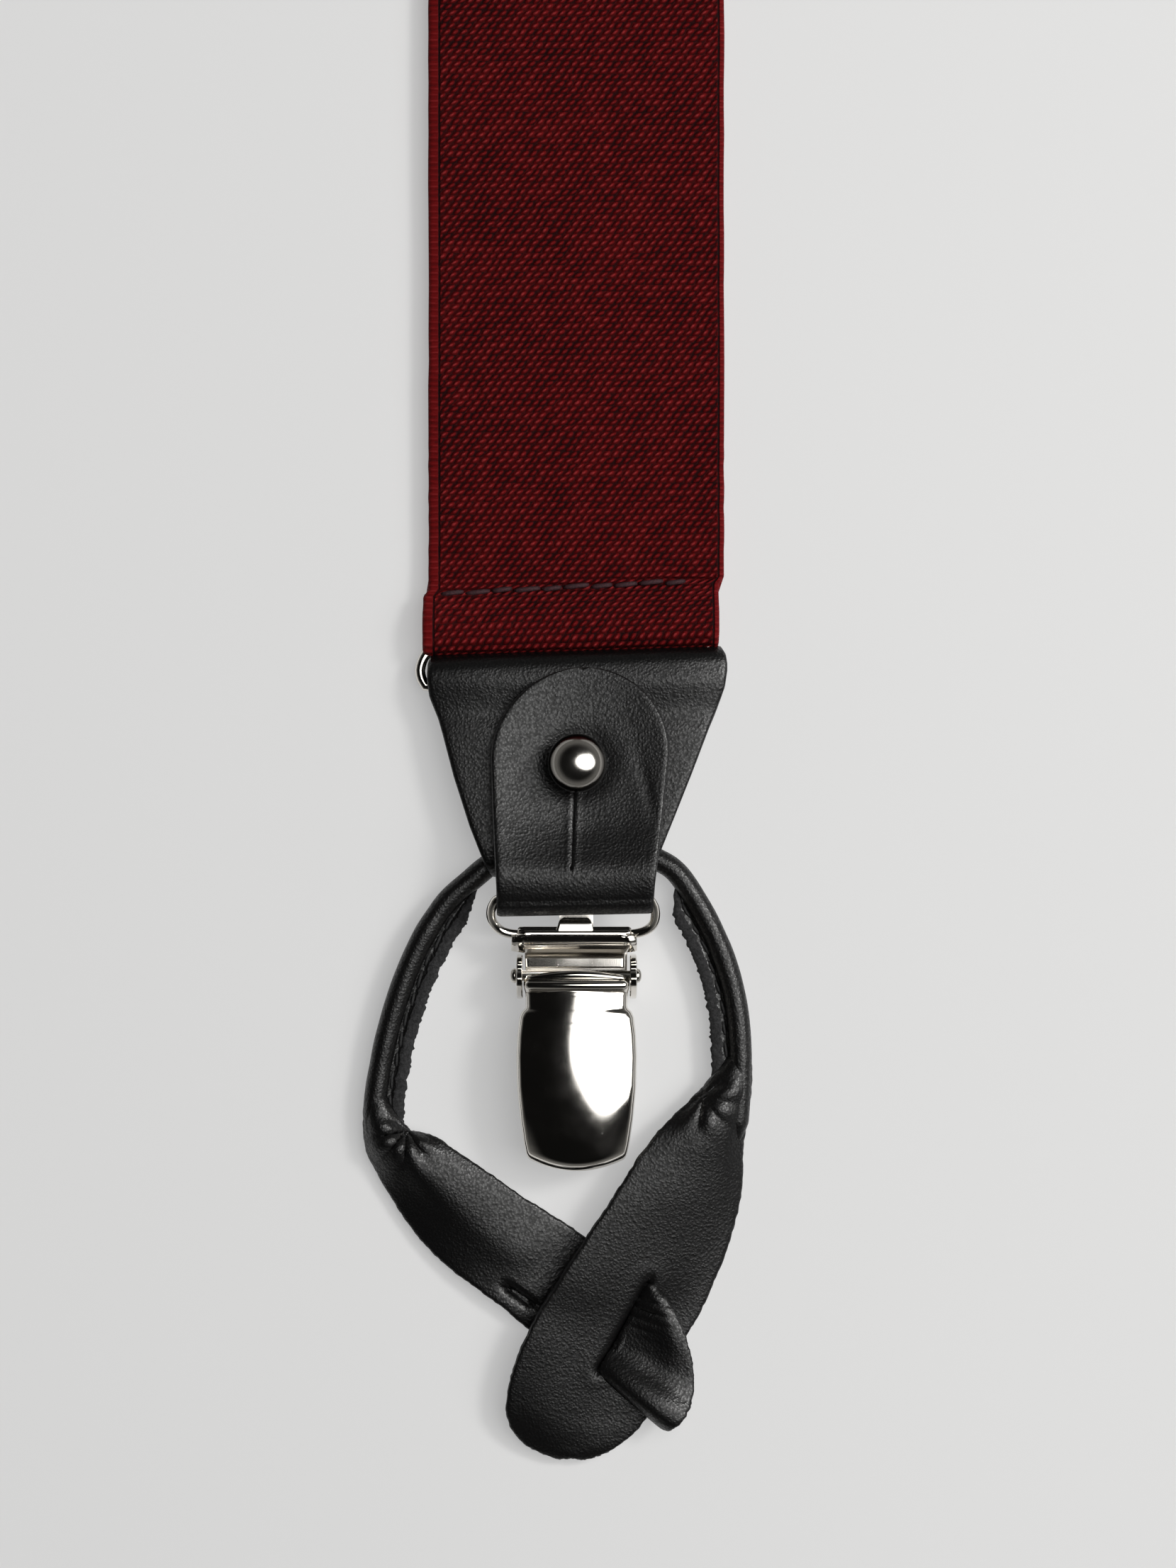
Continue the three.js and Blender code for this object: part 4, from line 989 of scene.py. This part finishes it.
def lever_piece(end):
    """The domed cover with its rolled lip, narrow waist and rounded foot."""
    y_list = np.concatenate([
        np.linspace(-37.35, -40.0, 26), np.linspace(-40.2, -43.6, 26), np.linspace(-43.9, -60.9, 76),
    ])
    widths = np.array([
        (-37.3, 5.2), (-37.8, 5.75), (-38.3, 5.95), (-39.0, 6.0), (-39.6, 5.9), (-40.2, 5.75),
        (-41.6, 5.72), (-42.0, 5.85), (-42.35, 6.25), (-42.9, 6.5), (-45.0, 6.75), (-47.5, 6.86),
        (-51.0, 6.78), (-55.0, 6.45), (-58.5, 6.02), (-60.2, 5.72), (-60.9, 5.5),
    ])
    u = np.concatenate([
        [-1, -0.998, -0.992, -0.98, -0.96, -0.935], np.linspace(-0.9, 0.9, 49),
        [0.935, 0.96, 0.98, 0.992, 0.998, 1],
    ])
    half = np.interp(-y_list, -widths[:, 0], widths[:, 1])
    grid = np.zeros((len(y_list), len(u), 3))
    for i, y in enumerate(y_list):
        x = half[i] * u
        t = part((-y - 39.6) / 21.3)
        # the crown rises from the waist and falls away to the foot
        crown = 7.15 + 1.45 * math.sin(math.pi * min(1, 0.06 + 0.9 * t))
        bow = 1.3 + 0.3 * t
        if y > -39.6:
            # the rolled lip above the waist is flatter, with a ridge and a groove
            bow = 0.75
            crown = 7.35 + 0.62 * bell(y + 39.0, 0.42) - 0.3 * bell(y + 38.25, 0.25)
            crown -= 0.5 * part(y + 37.75) ** 0.5
        z = crown - bow * np.abs(u) ** 2.1
        z = z - 1.15 * (part((np.abs(u) - 0.955) / 0.045) ** 2.2)
        foot = part((-y - 59.6) / 1.3)
        z = z - 1.2 * foot**2.2
        curve = 1.25 * part((-y - 50) / 10.9) ** 1.5 * u**2
        lip = -0.75 * part((y + 38.5) / 1.1) * u**2
        grid[i] = np.stack([x + 0.05, y + curve + lip, z], axis=1)
    smooth = grid[..., 2]
    for _ in range(2):
        smooth[1:-1] = (smooth[:-2] + 2 * smooth[1:-1] + smooth[2:]) / 4
    # a few shallow dents and a soft wave keep the reflection from being perfect
    x, y = grid[..., 0], grid[..., 1]
    smooth += 0.012 * noise_at(x * 0.2, y * 0.16, 91) * (y < -42)
    piece(end, "lever_cover", sheet(grid, 0.6, rim=0.22, edge=0.5), "cover", NICKEL, "clip_lever")


def clip_pieces(end):
    """The clip's plates, collars, ears and rivet."""
    # the front plate that is rolled over the D-ring's bar, seen above the lever
    rows = [
        (-32.35, -6.6, 6.25), (-32.5, -6.85, 6.45), (-32.95, -6.85, 6.45), (-33.1, -6.35, 5.95),
        (-33.35, -7.6, 7.15), (-34.9, -7.7, 7.2), (-35.15, -6.1, 5.75), (-37.2, -6.0, 5.7),
    ]

    def height(x, y, u):
        rolled = 6.62 - 0.75 * part((y + 33.0) / 0.7) ** 2
        dip = 0.3 * bell(y + 34.05, 0.5)
        # it steps down below the path of the lever's lip
        falls = np.interp(-y, [33.85, 34.2, 35.45, 35.95, 37.2], [0, 0.3, 2.4, 2.8, 2.85])
        return rolled - dip * (np.abs(u) < 0.86) - falls - 0.45 * part((np.abs(x) - 6.2) / 0.8)

    plate = sheet(plate_grid(rows, 110, 60, height, 0.3), 0.55, rim=0.2, edge=0.5)
    piece(end, "clip_plate", plate, "clip", NICKEL, "clip_base")
    tongue_rows = [(-31.15, -1.5, 1.35), (-31.5, -2.0, 1.75), (-32.5, -2.35, 2.05), (-33.0, -2.35, 2.05)]
    tongue = sheet(plate_grid(
        tongue_rows, 30, 20, lambda x, y, u: 6.55 - 0.5 * part((y + 31.9) / 0.8), 0.2), 0.5, rim=0.2)
    piece(end, "clip_tongue", tongue, "clip", NICKEL)
    # rear plate and its rolled collar
    rear_rows = [(-33.0, -6.1, 6.1), (-36, -6.1, 6.1), (-59.6, -5.9, 5.9), (-60.1, -5.4, 5.4)]
    rear = sheet(plate_grid(rear_rows, 60, 24, lambda x, y, u: 0.6 + 0 * x, 0.25), 0.7, rim=0.2)
    piece(end, "clip_rear", rear, "clip", NICKEL_SOFT)
    for lo, hi, tag in ((-6.0, -2.7, "left"), (2.7, 6.0, "right")):
        line = even([(0, a, b) for a, b in arc(CLIP_Y, CLIP_Z, 1.3, 75, 250, 18)[::-1]], 18)
        across = np.repeat(np.linspace(lo, hi, 12)[None, :], 18, axis=0)
        grid = np.dstack([across, np.repeat(line[:, 1:2], 12, axis=1), np.repeat(line[:, 2:3], 12, axis=1)])
        piece(end, "clip_collar_" + tag, sheet(grid, 0.5, rim=0.2), "clip", NICKEL)
    # ear plates at the sides, which hold the rivet
    for side, tag in ((-1, "left"), (1, "right")):
        outline = [
            (-35.6, 1.0), (-35.6, 3.2), (-35.7, 5.0), (-36.1, 6.2), (-36.6, 6.65), (-37.2, 6.5), (-37.6, 6.9),
            (-38.3, 7.15), (-39.1, 6.9), (-39.7, 6.1), (-40.3, 5.0), (-40.8, 3.0), (-41.0, 1.0),
        ]
        outer, inner = 7.05 * side + (0.12 if side > 0 else 0), 6.35 * side
        flat = [(x, a, b) for x in sorted((outer, inner)) for a, b in outline]
        n = len(outline)
        faces = [list(range(n)), list(range(2 * n - 1, n - 1, -1))]
        faces += [[i, (i + 1) % n, (i + 1) % n + n, i + n] for i in range(n)]
        piece(end, "clip_ear_" + tag, (flat, faces), "clip", NICKEL, bevel=0.16)
    pin_y, pin_z = CLIP_Y - 4.9, CLIP_Z + 0.4
    profile = [(0, -7.85), (0.45, -7.8), (0.78, -7.6), (0.9, -7.3), (0.85, -7.15), (0.6, -7.05), (0.6, 6.95),
               (0.85, 7.05), (0.9, 7.2), (0.78, 7.5), (0.45, 7.7), (0, 7.75)]
    vertices, faces = lathe(profile, 32)
    turned = np.stack([vertices[:, 2], vertices[:, 1] + pin_y, vertices[:, 0] + pin_z], axis=1)
    piece(end, "clip_rivet", (turned, faces), "clip", NICKEL, "clip_pin")


for end in ENDS:
    tab_piece(end)
    stud_pieces(end)
    loop_pieces(end)
    d_ring_piece(end)
    lever_piece(end)
    clip_pieces(end)


# ---- frame's own solids that stay in view

def show_solid(node, material, width):
    """Finishes one of the frame's solids: a material, rounded edges and smooth shading."""
    solid = frame["nodes"][node]
    solid.data.materials.clear()
    solid.data.materials.append(material)
    round_edges(solid, width, 30)
    solid.data.polygons.foreach_set("use_smooth", [True] * len(solid.data.polygons))


for end in ENDS:
    show_solid(end + "_clip_jaw", NICKEL_SOFT, 0.12)
    show_solid(end + "_clip_pad", RUBBER, 0.15)
for side in ("left", "right"):
    show_solid(side + "_adjuster_frame", NICKEL, 0.22)
    show_solid(side + "_adjuster_lever", NICKEL, 0.3)
    show_solid(side + "_adjuster_pin", NICKEL, 0.15)
for side in ("front", "rear"):
    show_solid("back_patch_" + side, LEATHER_SKIN, 0.35)


def patch_seam():
    """A line of stitches just inside the front patch's edge.

    The right half of the outline is a chain of quadratic curves between the corners of the patch's box.
    """
    low_corner, high_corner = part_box("back_patch_front")
    low, high = low_corner[1] / MM, high_corner[1] / MM - 0.4
    spread, top = high_corner[0] / MM, high_corner[2] / MM
    side, shoulder, shoulder_y, corner = 21.0, spread - 4.07, -5.0, 6.0
    from_edge = 2.7
    right_half = [
        [(0, low), (side / 2, low), (side - corner, low)],
        [(side - corner, low), (side, low), (side, low + corner)],
        [(side, low + corner), (side + 2, shoulder_y - corner), (shoulder - corner, shoulder_y - 2)],
        [(shoulder - corner, shoulder_y - 2), (shoulder, shoulder_y), (shoulder, shoulder_y + corner)],
        [(shoulder, shoulder_y + corner), ((shoulder + spread) / 2, (shoulder_y + high) / 2),
         (spread, high - corner)],
        [(spread, high - corner), (spread, high), (spread - corner, high + 1)],
        [(spread - corner, high + 1), ((spread - corner) / 2, high - 7.2), (0, high - 7.5)],
    ]
    points = []
    for a, b, c in right_half:
        t = np.linspace(0, 1, 24)[:-1, None]
        points.append((1 - t) ** 2 * np.array(a) + 2 * t * (1 - t) * np.array(b) + t * t * np.array(c))
    right = np.vstack(points)
    loop = np.vstack([right, (right * [-1, 1])[::-1]])
    loop = even(loop[:-1], 400, closed=True)
    heading = np.roll(loop, -1, axis=0) - np.roll(loop, 1, axis=0)
    heading = unit(heading)
    inset = loop + from_edge * np.stack([-heading[:, 1], heading[:, 0]], axis=1)
    line = np.column_stack([inset, np.full(len(inset), top + SEAM_LIFT)])
    thread = stitches(np.vstack([line, line[:1]]), 2.3, 0.8, 0.26, 0.25)
    piece("patch", "stitches", thread, "root", BLACK_THREAD)


patch_seam()


# ---- table, light and camera

# metres, watts and the strength of emission
TABLE_SIZE, TABLE_GAP, TABLE_GLOW = 30, 0.0001, 0.375
SOFTBOX_AT, SOFTBOX_SIZE, SOFTBOX_WATTS = Vector((0.68, 0.07, 0.80)), (1.5, 0.86), 9.0
KEY_AT, KEY_SIZE, KEY_WATTS = Vector((0.62, 0.27, 0.70)), (0.22, 0.22), 3.4
CAMERA_HEIGHT = 0.4430
CAMERA_LENS = 85


def floor():
    """A pale matt table that glows slightly, as evenly lit paper does."""
    s = Shader("studio_table")
    place = s.place()
    tone = s.noise(place, 3.0, 3.0)
    fibre = s.noise(place, 900.0, 3.0)
    color = s.mix(s.ramp(tone, 0.3, 0.7), (0.4, 0.4, 0.4), (0.41, 0.41, 0.41))
    s.surface(color, Roughness=0.9, Normal=s.bump(fibre, 0.08, 0.05), Specular_IOR_Level=0.1,
              Emission_Color=(1, 1, 1, 1), Emission_Strength=TABLE_GLOW)
    bpy.ops.mesh.primitive_plane_add(size=TABLE_SIZE, location=(0, 0, -TABLE_GAP))
    plane = bpy.context.object
    plane.name = "table"
    plane.data.materials.append(s.material)


def area_light(name, place, target, size, watts, color):
    """An oval softbox that faces its target."""
    light = bpy.data.lights.new(name, "AREA")
    light.shape = "ELLIPSE"
    light.size, light.size_y = size
    light.energy = watts
    light.color = color
    made = bpy.data.objects.new(name, light)
    made.location = place
    made.rotation_euler = (Vector(target) - Vector(place)).to_track_quat("-Z", "Y").to_euler()
    bpy.context.scene.collection.objects.link(made)


floor()
focus = PLACE["back"] @ Vector((1.4, -15.35, 2))
below_softbox = focus + SOFTBOX_AT * Vector((1, 1, 0))
area_light("softbox", focus + SOFTBOX_AT, below_softbox, SOFTBOX_SIZE, SOFTBOX_WATTS, (1, 0.995, 0.98))
area_light("key", focus + KEY_AT, focus, KEY_SIZE, KEY_WATTS, (1, 0.99, 0.97))


def studio_world():
    """A dark room above and a soft glow near the horizon."""
    world = bpy.data.worlds.new("studio")
    world.use_nodes = True
    tree = world.node_tree
    way = tree.nodes.new("ShaderNodeTexCoord").outputs["Generated"]
    split = tree.nodes.new("ShaderNodeSeparateXYZ")
    tree.links.new(way, split.inputs[0])
    glow = tree.nodes.new("ShaderNodeMapRange")
    glow.interpolation_type = "SMOOTHSTEP"
    for socket, value in (("From Min", 0.6), ("From Max", 0.05), ("To Min", 0.005), ("To Max", 0.2)):
        glow.inputs[socket].default_value = value
    tree.links.new(split.outputs[2], glow.inputs["Value"])
    background = tree.nodes["Background"]
    background.inputs["Color"].default_value = (1, 0.985, 0.95, 1)
    tree.links.new(glow.outputs["Result"], background.inputs["Strength"])
    bpy.context.scene.world = world


studio_world()
bpy.context.scene.view_settings.view_transform = "Standard"

lens = bpy.data.cameras.new("camera")
lens.type = "PERSP"
lens.lens = CAMERA_LENS
lens.sensor_width = 36
lens.sensor_fit = "AUTO"
lens.clip_start = 0.01
lens.clip_end = 50
camera = bpy.data.objects.new("camera", lens)
camera.location = (focus.x, focus.y, CAMERA_HEIGHT)
camera.rotation_euler = (0, 0, 0)
bpy.context.scene.collection.objects.link(camera)
bpy.context.scene.camera = camera
